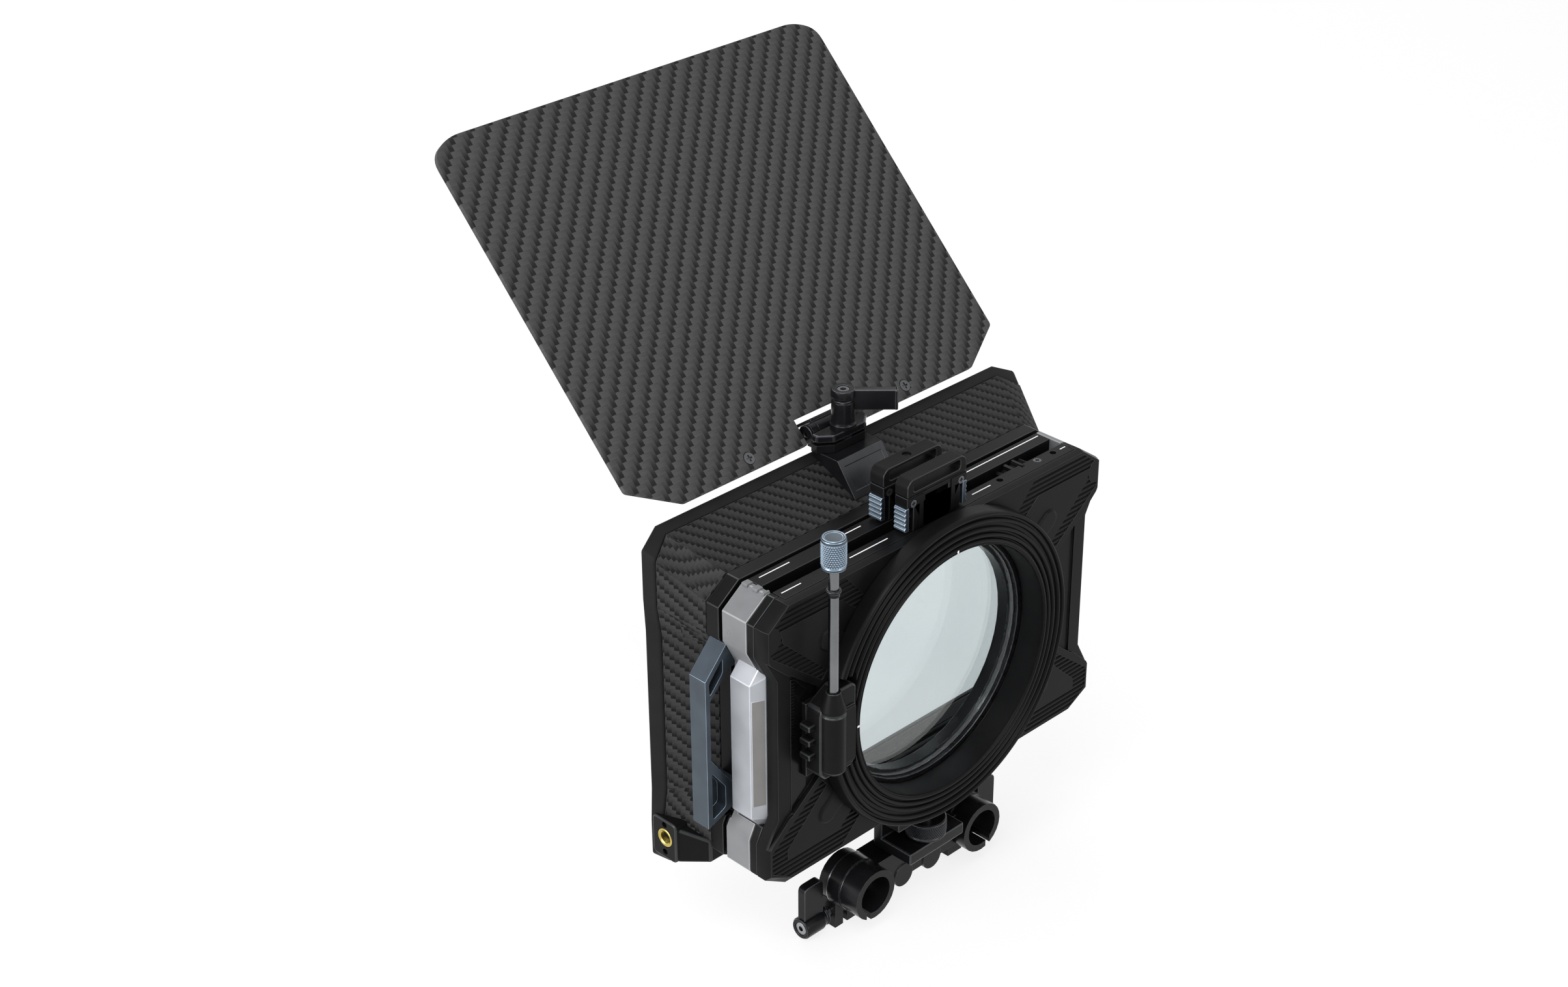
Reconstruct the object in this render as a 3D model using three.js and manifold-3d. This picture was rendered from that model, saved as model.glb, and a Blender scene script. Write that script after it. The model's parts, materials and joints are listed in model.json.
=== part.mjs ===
// A matte box for a cinema lens: two filter stages, a flared hood, a top flag and a rod clamp.
// Millimetres. X to the right, Y forward along the lens axis, Z up.
// The origin is on the lens axis, at the rear face of the rear housing.
import * as THREE from "three";
import { mergeVertices } from "three/addons/utils/BufferGeometryUtils.js";
import Module from "manifold-3d";

const wasm = await Module();
wasm.setup();

// Clearances shared by every piece
const fit = 0.3;
const weld = 0.0003;
const overrun = 2;
const fineSegments = 48;
const roundSegments = 24;
const smallSegments = 12;

// Outer outline of the housings, right half, taken round the lens axis
const housing = { topHalfWidth: 77.8, halfHeight: 59, shoulderReach: 9.95, shoulderDrop: 7.2,
  shoulderLength: 12.4, lowShoulderRise: 6, waistReach: 4.5, waistDepth: 30 };
const shell = {
  topHalfWidth: housing.topHalfWidth,
  halfHeight: housing.halfHeight,
  shoulderX: housing.topHalfWidth + housing.shoulderReach,
  shoulderTopZ: housing.halfHeight - housing.shoulderDrop,
  shoulderFootZ: housing.halfHeight - housing.shoulderDrop - housing.shoulderLength,
  lowShoulderZ: housing.halfHeight - housing.lowShoulderRise,
  waistX: housing.topHalfWidth + housing.waistReach,
  waistZ: housing.halfHeight - housing.waistDepth,
};

// Depths of the layers along the lens axis
const layer = { housingDepth: 6.2, plateFrontY: 10, stageFrontY: 22.2, sealFrontY: 23.7,
  bandFrontY: 30, sealInset: 1.2 };

// Clear window of the seal and the hood band
const windowWall = { side: 9.8, end: 11 };
const windowHalfWidth = shell.topHalfWidth - windowWall.side;
const windowHalfHeight = shell.halfHeight - windowWall.end;

// Slots for the trays
const slotWall = { side: 1.9, floor: 3.1, rear: 3.3 };
const slot = {
  halfWidth: shell.topHalfWidth - slotWall.side,
  floorZ: slotWall.floor - shell.halfHeight,
  rearWall: slotWall.rear,
};

// Trays and the rectangular filter
const traySize = { rearThickness: 6.1, frontThickness: 6.7, gap: 5.6, sideWall: 9.1, endWall: 12.5 };
const tray = {
  halfWidth: slot.halfWidth - fit,
  topZ: shell.halfHeight,
  rearY: slot.rearWall + fit,
  rearThickness: traySize.rearThickness,
  frontY: slot.rearWall + fit + traySize.rearThickness + traySize.gap,
  frontThickness: traySize.frontThickness,
  apertureHalfWidth: slot.halfWidth - fit - traySize.sideWall,
  apertureHalfHeight: shell.halfHeight - traySize.endWall,
};
const filterSize = { sideLap: 5.25, endLap: 4.3, thickness: 4, lipDepth: 1.6 };
const filter = {
  halfWidth: tray.apertureHalfWidth + filterSize.sideLap,
  halfHeight: tray.apertureHalfHeight + filterSize.endLap,
  thickness: filterSize.thickness,
  lipDepth: filterSize.lipDepth,
};

// Grip block, strap and latches on each tray, measured up from the tray's top
const gripSize = { halfWidth: 15.3, height: 14.5, windowHalfWidth: 6, windowFloor: 0.9, windowTop: 13 };
const grip = {
  halfWidth: gripSize.halfWidth,
  topZ: tray.topZ + gripSize.height,
  windowHalfWidth: gripSize.windowHalfWidth,
  windowFloorZ: tray.topZ + gripSize.windowFloor,
  windowTopZ: tray.topZ + gripSize.windowTop,
};
const strapSize = { height: 6.8, sideHeight: 4.9, openingFloor: 1.4, openingTop: 5.6, topInset: 2.3,
  sideInset: 0.7, openingInset: 3.1 };
const strap = {
  footHalfWidth: grip.halfWidth,
  sideHalfWidth: grip.halfWidth - strapSize.sideInset,
  topHalfWidth: grip.halfWidth - strapSize.topInset,
  openingHalfWidth: grip.halfWidth - strapSize.openingInset,
  topZ: grip.topZ + strapSize.height,
  sideTopZ: grip.topZ + strapSize.sideHeight,
  openingFloorZ: grip.topZ + strapSize.openingFloor,
  openingTopZ: grip.topZ + strapSize.openingTop,
};
const latchSize = { thickness: 2.2, inset: 1.3, floor: 1, top: 10.4, grooves: 5, grooveDepth: 0.45,
  travelRoom: 1.8, stemRadius: 1, stemLength: 4.5 };
const latch = {
  innerX: grip.halfWidth - latchSize.inset,
  outerX: grip.halfWidth - latchSize.inset + latchSize.thickness,
  floorZ: tray.topZ + latchSize.floor,
  topZ: tray.topZ + latchSize.top,
};

// Gears that turn the round polariser: one tooth module for all. The ring has to fit in the slot's height,
// and the ring with its pinion in the slot's width
const gearSize = { ringTeeth: 80, pinionTeeth: 14, thumbTeeth: 20, thumbStep: 9, floorClearance: 0.4875,
  sideClearance: 1.2375, thickness: 3.4, addendumShare: 0.3, dedendumShare: 0.9, rootShare: 0.5,
  tipShare: 0.25 };
const ringRoom = (-slot.floorZ - gearSize.floorClearance) / (gearSize.ringTeeth / 2 + gearSize.addendumShare);
const trainRoom = (slot.halfWidth - gearSize.sideClearance)
  / (gearSize.ringTeeth / 2 + gearSize.pinionTeeth + gearSize.addendumShare);
const gearModule = Math.min(ringRoom, trainRoom);
const pitchOf = (teeth) => gearModule * teeth / 2;
const ringPitchRadius = pitchOf(gearSize.ringTeeth);
const pinionX = -(ringPitchRadius + pitchOf(gearSize.pinionTeeth));
const thumbAngle = 2 * Math.PI * gearSize.thumbStep / gearSize.ringTeeth;
const thumbDistance = ringPitchRadius + pitchOf(gearSize.thumbTeeth);
const thumbX = thumbDistance * Math.cos(thumbAngle);
const thumbZ = thumbDistance * Math.sin(thumbAngle);
const gearRearY = tray.rearY + tray.rearThickness + fit;
const gearFrontY = gearRearY + gearSize.thickness;
const polariserSize = { seatDrop: 4.8, wall: 4.7, glassLap: 2, glassThickness: 2, spigotRecess: 0.6,
  glassRecess: 2.4 };
const polariser = {
  seatRadius: ringPitchRadius - polariserSize.seatDrop,
  spigotRadius: ringPitchRadius - polariserSize.seatDrop - fit,
  boreRadius: ringPitchRadius - polariserSize.seatDrop - polariserSize.wall,
  glassRadius: ringPitchRadius - polariserSize.seatDrop - polariserSize.wall + polariserSize.glassLap,
  glassThickness: polariserSize.glassThickness,
  spigotRearY: tray.rearY + polariserSize.spigotRecess,
  glassRearY: tray.rearY + polariserSize.glassRecess,
};
const thumbWheelSize = { pocketDepth: 1.6, frontGap: 0.7, axleRadius: 1.5, axleInset: 1 };
const thumbWheel = {
  rearY: tray.rearY + tray.rearThickness - thumbWheelSize.pocketDepth,
  frontY: tray.frontY - thumbWheelSize.frontGap,
  axleRadius: thumbWheelSize.axleRadius,
  axleRearY: tray.rearY + thumbWheelSize.axleInset,
};

// Lens port ring, ribbed on its rear face, round the same axis as the ring gear
const portSize = { rim: 7.4, boreDrop: 5.6, spigotDrop: 0.5, height: 7.3, ridgeDepth: 1,
  ridgeHalfWidth: 0.45, ridgeOffsets: [-4.2, -1.9, 0.6, 3.7, 6.6] };
const port = {
  outerRadius: ringPitchRadius + portSize.rim,
  boreRadius: ringPitchRadius - portSize.boreDrop,
  spigotRadius: ringPitchRadius - portSize.spigotDrop,
  spigotFrontY: slot.rearWall - fit,
  rearY: -portSize.height,
};

// Side recess of the rear face and the window strip in it
const recessSize = { outerRise: 0.5, innerDrop: 10.5, reachPastShaft: 2.625, depth: 2 };
const recess = {
  outerX: slot.halfWidth,
  outerZ: shell.waistZ + recessSize.outerRise,
  innerX: -pinionX - recessSize.reachPastShaft,
  innerZ: shell.waistZ - recessSize.innerDrop,
  depth: recessSize.depth,
};
const stripSize = { inset: 0.5, width: 5, heightShare: 0.62, thickness: 0.8 };
const scaleStrip = {
  outerX: recess.outerX - stripSize.inset,
  innerX: recess.outerX - stripSize.inset - stripSize.width,
  halfHeight: shell.waistZ * stripSize.heightShare,
};

// Polariser drive on the rear face, set round the pinion's axis
const driveSize = { shaftRise: 8.7, outerReach: 8.375, innerReach: 12.625, rise: 7.9, topZ: 15,
  bottomZ: -14, noseRadius: 4.7, coneTopZ: 22.5, coneTopRadius: 2.5, baseGap: 0.4, baseInset: 4,
  chamberRadius: 3.3, throatRadius: 3.05, chamberTopZ: 7, chamberBottomZ: -3.6, shaftBoreRadius: 1.8,
  ringNotchMargin: 0.4 };
const shaftY = -driveSize.shaftRise;
const driveOuterX = pinionX - driveSize.outerReach;
const driveInnerX = pinionX + driveSize.innerReach;
const bevel = { teeth: 12, largeRadius: 2.8, smallRadius: 1.4, boreRadius: 0.75, length: 1.7,
  valleyShare: 0.8, offset: 1.9 };
const knobSize = { shaftRadius: 1.5, shaftTop: 17, collarRadius: 2.3, collarFoot: 2.4, collarTop: 5.9,
  radius: 4.4, foot: 11.4, top: 25.2, chamfer: 1.1 };
const pinionShaft = { radius: 2, channelHalfWidth: 2.5 };

// Bright bar in the waist of the filter stage
const barSize = { topRise: 4, shoulderDrop: 2.5, innerRise: 0.5, bottomRise: 7, frontY: 18.8 };
const bar = {
  innerX: shell.topHalfWidth,
  waistX: shell.waistX,
  outerX: shell.shoulderX,
  topZ: shell.waistZ + barSize.topRise,
  shoulderTopZ: shell.waistZ - barSize.shoulderDrop,
  innerTopZ: shell.waistZ + barSize.innerRise,
  bottomZ: -shell.waistZ - barSize.bottomRise,
  shoulderBottomZ: -shell.waistZ - barSize.innerRise,
  innerBottomZ: -shell.waistZ - barSize.topRise,
  frontY: barSize.frontY,
};

// Blue side handle
const handleSize = { reach: 8.85, thickness: 2, rootInset: 1.25, footGap: 0.4, web: 2.9, rearY: 21.8,
  frontInset: 0.2, topRise: 8.5, outerTopDrop: 2.7, footTopDrop: 1.5, innerTopDrop: 11.7,
  innerBottomDrop: 21.6, footBottomDrop: 8.5, rootBottomRise: 2.8, outerBottomRise: 7 };
const handle = {
  outerX: shell.shoulderX + handleSize.reach,
  barInnerX: shell.shoulderX + handleSize.reach - handleSize.thickness,
  rootX: shell.shoulderX - handleSize.rootInset,
  footX: shell.waistX + handleSize.footGap,
  webX: shell.waistX + handleSize.web,
  rearY: handleSize.rearY,
  frontY: layer.bandFrontY - handleSize.frontInset,
  topZ: shell.waistZ + handleSize.topRise,
  outerTopZ: shell.waistZ - handleSize.outerTopDrop,
  footTopZ: shell.waistZ - handleSize.footTopDrop,
  innerTopZ: shell.waistZ - handleSize.innerTopDrop,
  innerBottomZ: handleSize.innerBottomDrop - shell.waistZ,
  footBottomZ: handleSize.footBottomDrop - shell.waistZ,
  rootBottomZ: -shell.waistZ - handleSize.rootBottomRise,
  outerBottomZ: -shell.waistZ - handleSize.outerBottomRise,
};

// Hood: its rear edge follows the shell outline, its front edge flares out from it
const hoodSize = { topFlare: 12.3, cornerFlare: 10.2, sideFlare: 9.65, sideTopRise: 8, sideBottomRise: 3.2,
  stepRise: 6.6, recessDepth: 0.6, recessRise: 5, topDepth: 26, sideDepth: 22.5, bottomDepth: 22.8,
  wall: 1.8, lipWall: 2.6, topLipShare: 0.84, sideLipShare: 0.78 };
const hood = {
  topHalfWidth: shell.topHalfWidth + hoodSize.cornerFlare,
  topZ: shell.halfHeight + hoodSize.topFlare,
  topY: layer.bandFrontY + hoodSize.topDepth,
  sideX: shell.shoulderX + hoodSize.sideFlare,
  sideTopZ: shell.halfHeight + hoodSize.sideTopRise,
  sideY: layer.bandFrontY + hoodSize.sideDepth,
  stepTopZ: shell.shoulderFootZ + hoodSize.stepRise,
  recessX: shell.shoulderX + hoodSize.sideFlare - hoodSize.recessDepth,
  recessZ: shell.waistZ + hoodSize.recessRise,
  sideBottomZ: -shell.halfHeight - hoodSize.sideBottomRise,
  bottomZ: -shell.halfHeight - hoodSize.topFlare,
  bottomY: layer.bandFrontY + hoodSize.bottomDepth,
};

// Accessory boss with its threaded insert, low on each side of the hood
const bossSize = { depth: 13.4, rearSetback: 14, frontSetback: 0.9, topRise: 15.5, bottomDrop: 1.5,
  insertSetback: 7.6, insertRise: 7.6, insertRadius: 3.9, threadRadius: 2.55, insertDepth: 1.5,
  pinRadius: 1.25, pinDepth: 1, pinRise: 5.8, pinDrop: 6.2 };
const boss = {
  faceX: hood.sideX,
  innerX: hood.sideX - bossSize.depth,
  rearY: hood.sideY - bossSize.rearSetback,
  frontY: hood.sideY - bossSize.frontSetback,
  topZ: bossSize.topRise - shell.halfHeight,
  bottomZ: -shell.halfHeight - bossSize.bottomDrop,
  insertY: hood.sideY - bossSize.insertSetback,
  insertZ: bossSize.insertRise - shell.halfHeight,
};

// Top flag, set on the hood's top rim
const flag = { halfWidth: 94.4, height: 153.2, thickness: 2, originSetback: 1.9, originRise: 4.65,
  tiltDegrees: -44.8, lowCornerX: 20, lowCornerZ: 12, topCornerX: 9.5, topCornerZ: 5,
  notchHalfWidth: 14.1, notchDepth: 10.5, screwX: 40.4, screwZ: 4.6, screwRadius: 2, screwHead: 0.7 };
const flagOriginY = hood.topY - flag.originSetback;
const flagOriginZ = hood.topZ + flag.originRise;

// Hinge of the flag
const hinge = { forward: 1.6, rise: 6.5, pinRadius: 1.3, knuckleRadius: 3.6, knuckleHalfWidth: 7.7,
  earInnerX: 8, earOuterX: 11, discRadius: 3.5, discThickness: 0.7 };
const hingeY = hood.topY + hinge.forward;
const hingeZ = hood.topZ + hinge.rise;
const leaf = { barHalfWidth: 46, barThickness: 1.6, barFootZ: 2, barTopZ: 9, saddleHalfWidth: 16,
  saddleTopZ: 12 };

// Clamp under the flag hinge, measured from the hood's top rim
const clampSize = { footHalfWidth: 11.5, footTip: 23.5, rampTop: 14.2, footFront: 1.5, footRise: 1.4,
  plateHalfWidth: 13, plateRearHalfWidth: 8, plateRear: 9.1, plateSide: 5, plateFront: 2.3,
  baseRise: 4.7, plateFootRise: 5.7, plateTopRise: 8.7, boltRadius: 2, spacerRadius: 3.2, postSetback: 5.7,
  postRadius: 3.4, postRise: 16.9 };
const clamp = {
  footTipY: hood.topY - clampSize.footTip,
  rampTopY: hood.topY - clampSize.rampTop,
  footFrontY: hood.topY - clampSize.footFront,
  footTopZ: hood.topZ + clampSize.footRise,
  plateRearY: hood.topY - clampSize.plateRear,
  plateSideY: hood.topY - clampSize.plateSide,
  plateFrontY: hood.topY - clampSize.plateFront,
  baseTopZ: hood.topZ + clampSize.baseRise,
  plateFootZ: hood.topZ + clampSize.plateFootRise,
  plateTopZ: hood.topZ + clampSize.plateTopRise,
};
const post = { y: hood.topY - clampSize.postSetback, topZ: hood.topZ + clampSize.postRise };
const flagLever = { hubRadius: 6, hubFoot: 0.3, hubHeight: 6.1, length: 21.5, halfThickness: 2.3,
  paddleDrop: 4.3, paddleTopDrop: 2, turnDegrees: -45, paddleStart: 3.45, capRadius: 2.6, capHole: 2.9,
  capRise: 0.8 };
const hubFootZ = post.topZ + flagLever.hubFoot;
const hubTopZ = hubFootZ + flagLever.hubHeight;

// Rod clamps below the housing
const rod = { spacing: 60, drop: 32.3, radius: 7.5, clearance: 0.15 };
const rodZ = -shell.halfHeight - rod.drop;
const barrel = { radius: 10.4, collarRadius: 11, rearY: 2.5, frontY: 22.5, collarRearY: 11.6,
  collarFrontY: 17.8 };
const jawSize = { outerReach: 9, outerSlitReach: 4.7, innerSlitReach: 2.5, innerReach: -5.4, rearY: 15,
  topDrop: 5.7, bottomDrop: 17.7 };
const jaw = {
  outerX: rod.spacing / 2 + jawSize.outerReach,
  outerSlitX: rod.spacing / 2 + jawSize.outerSlitReach,
  innerSlitX: rod.spacing / 2 + jawSize.innerSlitReach,
  innerX: rod.spacing / 2 + jawSize.innerReach,
  rearY: jawSize.rearY,
  topZ: rodZ - jawSize.topDrop,
  bottomZ: rodZ - jawSize.bottomDrop,
};
const rodLeverSize = { axisY: 18.8, axisDrop: 11.9, hubRadius: 4.5, outerReach: 15, innerReach: 2.5,
  paddleReach: 4.5, paddleHalfThickness: 1.9, topRise: 7, screwRadius: 2, screwInset: 13 };
const rodLever = {
  axisY: rodLeverSize.axisY,
  axisZ: rodZ - rodLeverSize.axisDrop,
  outerX: jaw.outerX + rodLeverSize.outerReach,
  innerX: jaw.outerX + rodLeverSize.innerReach,
  paddleInnerX: jaw.outerX + rodLeverSize.paddleReach,
  topZ: rodZ + rodLeverSize.topRise,
  screwEndX: jaw.outerX - rodLeverSize.screwInset,
};

// Bracket that carries the housing on the clamps
const lug = { halfWidth: 20.7, frontY: 8.6, height: 7 };
const armSize = { halfWidth: 15, shelfRearY: -1, plateRearY: 14.2, frontY: 18.4, shelfDrop: 20,
  shelfRise: 7.3 };
const arm = {
  shelfTopZ: -shell.halfHeight - armSize.shelfDrop,
  shelfFootZ: rodZ + armSize.shelfRise,
};
const bridgeSize = { rearY: 9, frontY: 21, endGap: 6, topRise: 7, bottomDrop: 7.2, lobeX: 8, lobeDrop: 5.7,
  lobeRadius: 5, lobeRearY: 8.5, lobeFrontY: 14.5 };
const bridge = {
  halfWidth: rod.spacing / 2 - bridgeSize.endGap,
  topZ: rodZ + bridgeSize.topRise,
  bottomZ: rodZ - bridgeSize.bottomDrop,
  lobeZ: rodZ - bridgeSize.lobeDrop,
};
const nut = { y: 5.1, radius: 8.2, topDrop: 4.9, ribs: 24, ribShare: 0.96, screwRadius: 2.4, screwInset: 1 };
const nutTopZ = -shell.halfHeight - lug.height - nut.topDrop;
const nutFootZ = arm.shelfTopZ + fit;
const bracketScrewTopZ = -shell.halfHeight - nut.screwInset;

// Finishes
function finish(color, roughness, metalness) {
  return new THREE.MeshStandardMaterial({ color, roughness, metalness });
}
const blackPlastic = () => finish(0x17181a, 0.55, 0);
const carbon = () => finish(0x2b2c2e, 0.4, 0);
const greyPlastic = () => finish(0x77797c, 0.5, 0);
const silverMetal = () => finish(0xa5a9ae, 0.35, 1);
const blueMetal = () => finish(0x46586b, 0.35, 1);
const blackMetal = () => finish(0x1b1b1d, 0.45, 1);
const steel = () => finish(0x9a9c9e, 0.3, 1);
const brass = () => finish(0xc9a24a, 0.3, 1);
const rubber = () => finish(0x141415, 0.8, 0);
const glass = () => finish(0x9fb0b4, 0.05, 0);

const group = new THREE.Group();

// Turn a closed geometry into a solid whose faces point outwards
function solid(geometry) {
  const bare = geometry.clone();
  bare.deleteAttribute("normal");
  bare.deleteAttribute("uv");
  const merged = mergeVertices(bare, weld);
  const vertProperties = Float32Array.from(merged.attributes.position.array);
  const triVerts = Uint32Array.from(merged.index.array);
  if (signedVolume(vertProperties, triVerts) < 0) {
    for (let i = 0; i < triVerts.length; i += 3) {
      [triVerts[i], triVerts[i + 1]] = [triVerts[i + 1], triVerts[i]];
    }
  }
  return new wasm.Manifold(new wasm.Mesh({ numProp: 3, vertProperties, triVerts }));
}

function signedVolume(positions, triangles) {
  const corner = (index) => new THREE.Vector3().fromArray(positions, index * 3);
  let total = 0;
  for (let i = 0; i < triangles.length; i += 3) {
    total += corner(triangles[i]).dot(corner(triangles[i + 1]).cross(corner(triangles[i + 2])));
  }
  return total;
}

// Add one named piece to the model
function piece(name, body, material, placed = null) {
  const { vertProperties, triVerts } = body.getMesh();
  const geometry = new THREE.BufferGeometry();
  geometry.setAttribute("position", new THREE.BufferAttribute(vertProperties, 3));
  geometry.setIndex(new THREE.BufferAttribute(triVerts, 1));
  const mesh = new THREE.Mesh(geometry, material);
  mesh.name = name;
  (placed ?? group).add(mesh);
  return mesh;
}

function extrude(points, depth) {
  const shape = new THREE.Shape(points.map(([a, b]) => new THREE.Vector2(a, b)));
  return new THREE.ExtrudeGeometry(shape, { depth, bevelEnabled: false });
}

// Prism along Y from an outline of X and Z
function slabY(points, fromY, toY) {
  const geometry = extrude(points.map(([x, z]) => [x, -z]), toY - fromY);
  geometry.rotateX(-Math.PI / 2);
  geometry.translate(0, fromY, 0);
  return solid(geometry);
}

// Prism along Z from an outline of X and Y
function slabZ(points, fromZ, toZ) {
  const geometry = extrude(points, toZ - fromZ);
  geometry.translate(0, 0, fromZ);
  return solid(geometry);
}

// Prism along X from an outline of Y and Z
function slabX(points, fromX, toX) {
  const geometry = extrude(points, toX - fromX);
  geometry.rotateY(Math.PI / 2);
  geometry.rotateX(Math.PI / 2);
  geometry.translate(fromX, 0, 0);
  return solid(geometry);
}

function box(x0, x1, y0, y1, z0, z1) {
  const geometry = new THREE.BoxGeometry(Math.abs(x1 - x0), Math.abs(y1 - y0), Math.abs(z1 - z0));
  geometry.translate((x0 + x1) / 2, (y0 + y1) / 2, (z0 + z1) / 2);
  return solid(geometry);
}

function cylinderY(radius, x, z, fromY, toY, segments = roundSegments) {
  const geometry = new THREE.CylinderGeometry(radius, radius, toY - fromY, segments);
  geometry.translate(x, (fromY + toY) / 2, z);
  return solid(geometry);
}

function cylinderZ(radius, x, y, fromZ, toZ, segments = roundSegments, topRadius = radius) {
  const geometry = new THREE.CylinderGeometry(topRadius, radius, toZ - fromZ, segments);
  geometry.rotateX(Math.PI / 2);
  geometry.translate(x, y, (fromZ + toZ) / 2);
  return solid(geometry);
}

function cylinderX(radius, y, z, fromX, toX, segments = roundSegments) {
  const geometry = new THREE.CylinderGeometry(radius, radius, Math.abs(toX - fromX), segments);
  geometry.rotateZ(Math.PI / 2);
  geometry.translate((fromX + toX) / 2, y, z);
  return solid(geometry);
}

// Turned piece round the lens axis, from a closed profile of radius and Y
function turned(profile, segments = fineSegments) {
  const points = [...profile, profile[0]].map(([radius, y]) => new THREE.Vector2(radius, y));
  return solid(new THREE.LatheGeometry(points, segments));
}

// Closed tube-like solid through rings of points: each ring joins the next, and the last the first
function ringLoft(rings) {
  const count = rings[0].length;
  const positions = rings.flat(2);
  const index = [];
  rings.forEach((ring, r) => {
    const next = (r + 1) % rings.length;
    ring.forEach((point, p) => {
      const q = (p + 1) % count;
      const [a, b, c, d] = [r * count + p, r * count + q, next * count + q, next * count + p];
      index.push(a, b, c, a, c, d);
    });
  });
  const geometry = new THREE.BufferGeometry();
  geometry.setAttribute("position", new THREE.Float32BufferAttribute(positions, 3));
  geometry.setIndex(index);
  return solid(geometry);
}

// Gear outline of X and Z points round a centre, with one tooth centred on the given angle
function gearOutline(teeth, centreX, centreZ, toothAngle) {
  const tip = pitchOf(teeth) + gearModule * gearSize.addendumShare;
  const root = pitchOf(teeth) - gearModule * gearSize.dedendumShare;
  const step = 2 * Math.PI / teeth;
  const points = [];
  for (let tooth = 0; tooth < teeth; tooth += 1) {
    const middle = toothAngle + tooth * step;
    const corners = [[-gearSize.rootShare, root], [-gearSize.tipShare, tip], [gearSize.tipShare, tip],
      [gearSize.rootShare, root]];
    corners.forEach(([share, radius]) => {
      const angle = middle + share * step / 2;
      points.push([centreX + radius * Math.cos(angle), centreZ + radius * Math.sin(angle)]);
    });
  }
  return points;
}

// Outer outline of the housings, drawn in by an inset
function shellOutline(inset = 0) {
  const right = [
    [shell.topHalfWidth - inset, shell.halfHeight - inset],
    [shell.shoulderX - inset, shell.shoulderTopZ - inset],
    [shell.shoulderX - inset, shell.shoulderFootZ],
    [shell.waistX - inset, shell.waistZ],
    [shell.waistX - inset, -shell.waistZ],
    [shell.shoulderX - inset, -shell.shoulderFootZ],
    [shell.shoulderX - inset, -shell.lowShoulderZ + inset],
    [shell.topHalfWidth - inset, -shell.halfHeight + inset],
  ];
  const left = right.map(([x, z]) => [-x, z]).reverse();
  return [...right, ...left];
}

function rectangle(halfWidth, z0, z1) {
  return [[-halfWidth, z0], [halfWidth, z0], [halfWidth, z1], [-halfWidth, z1]];
}

const aboveShell = shell.halfHeight + overrun;
const sides = { left: -1, right: 1 };

// Waist bar outline of X and Z, grown all round
function barOutline(side, grow = 0) {
  return [
    [bar.innerX - grow, bar.innerTopZ + grow],
    [bar.waistX, bar.topZ + grow],
    [bar.outerX + grow, bar.shoulderTopZ + grow],
    [bar.outerX + grow, bar.shoulderBottomZ - grow],
    [bar.waistX, bar.bottomZ - grow],
    [bar.innerX - grow, bar.innerBottomZ - grow],
  ].map(([x, z]) => [side * x, z]);
}

// Side handle outline of X and Z: a flat bar on two feet
function handleOutline(side) {
  return [
    [handle.outerX, handle.outerTopZ],
    [handle.rootX, handle.topZ],
    [handle.footX, handle.topZ],
    [handle.footX, handle.footTopZ],
    [handle.webX, handle.footTopZ],
    [handle.barInnerX, handle.innerTopZ],
    [handle.barInnerX, handle.innerBottomZ],
    [handle.webX, handle.footBottomZ],
    [handle.footX, handle.footBottomZ],
    [handle.footX, handle.rootBottomZ],
    [handle.webX, handle.rootBottomZ],
    [handle.outerX, handle.outerBottomZ],
  ].map(([x, z]) => [side * x, z]);
}

// Room that the handle's two feet take out of the layers behind them
function handleFootRoom(side) {
  const inner = side * (handle.footX - fit);
  const outer = side * (shell.shoulderX + overrun);
  const rear = handle.rearY - fit;
  const front = handle.frontY + fit;
  const upper = box(inner, outer, rear, front, handle.footTopZ - fit, handle.topZ + fit);
  const lower = box(inner, outer, rear, front, handle.outerBottomZ - fit, handle.footBottomZ + fit);
  return upper.add(lower);
}

// Rear housing: the back wall with the lens port bore and a relief on each side
function makeRearHousing() {
  let body = slabY(shellOutline(), 0, layer.housingDepth);
  body = body.subtract(slabY(rectangle(slot.halfWidth, slot.floorZ, aboveShell), slot.rearWall,
    layer.housingDepth + overrun));
  const bore = port.spigotRadius + fit;
  body = body.subtract(cylinderY(bore, 0, 0, -overrun, slot.rearWall + overrun, fineSegments));
  for (const side of Object.values(sides)) {
    const relief = [[recess.outerX, recess.outerZ], [recess.innerX, recess.innerZ],
      [recess.innerX, -recess.innerZ], [recess.outerX, -recess.outerZ]].map(([x, z]) => [side * x, z]);
    body = body.subtract(slabY(relief, -overrun, recess.depth));
  }
  body = body.subtract(cylinderY(pinionShaft.radius + fit, pinionX, 0, -overrun, slot.rearWall + overrun,
    smallSegments));
  piece("rear_housing", body, blackPlastic());
}

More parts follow.
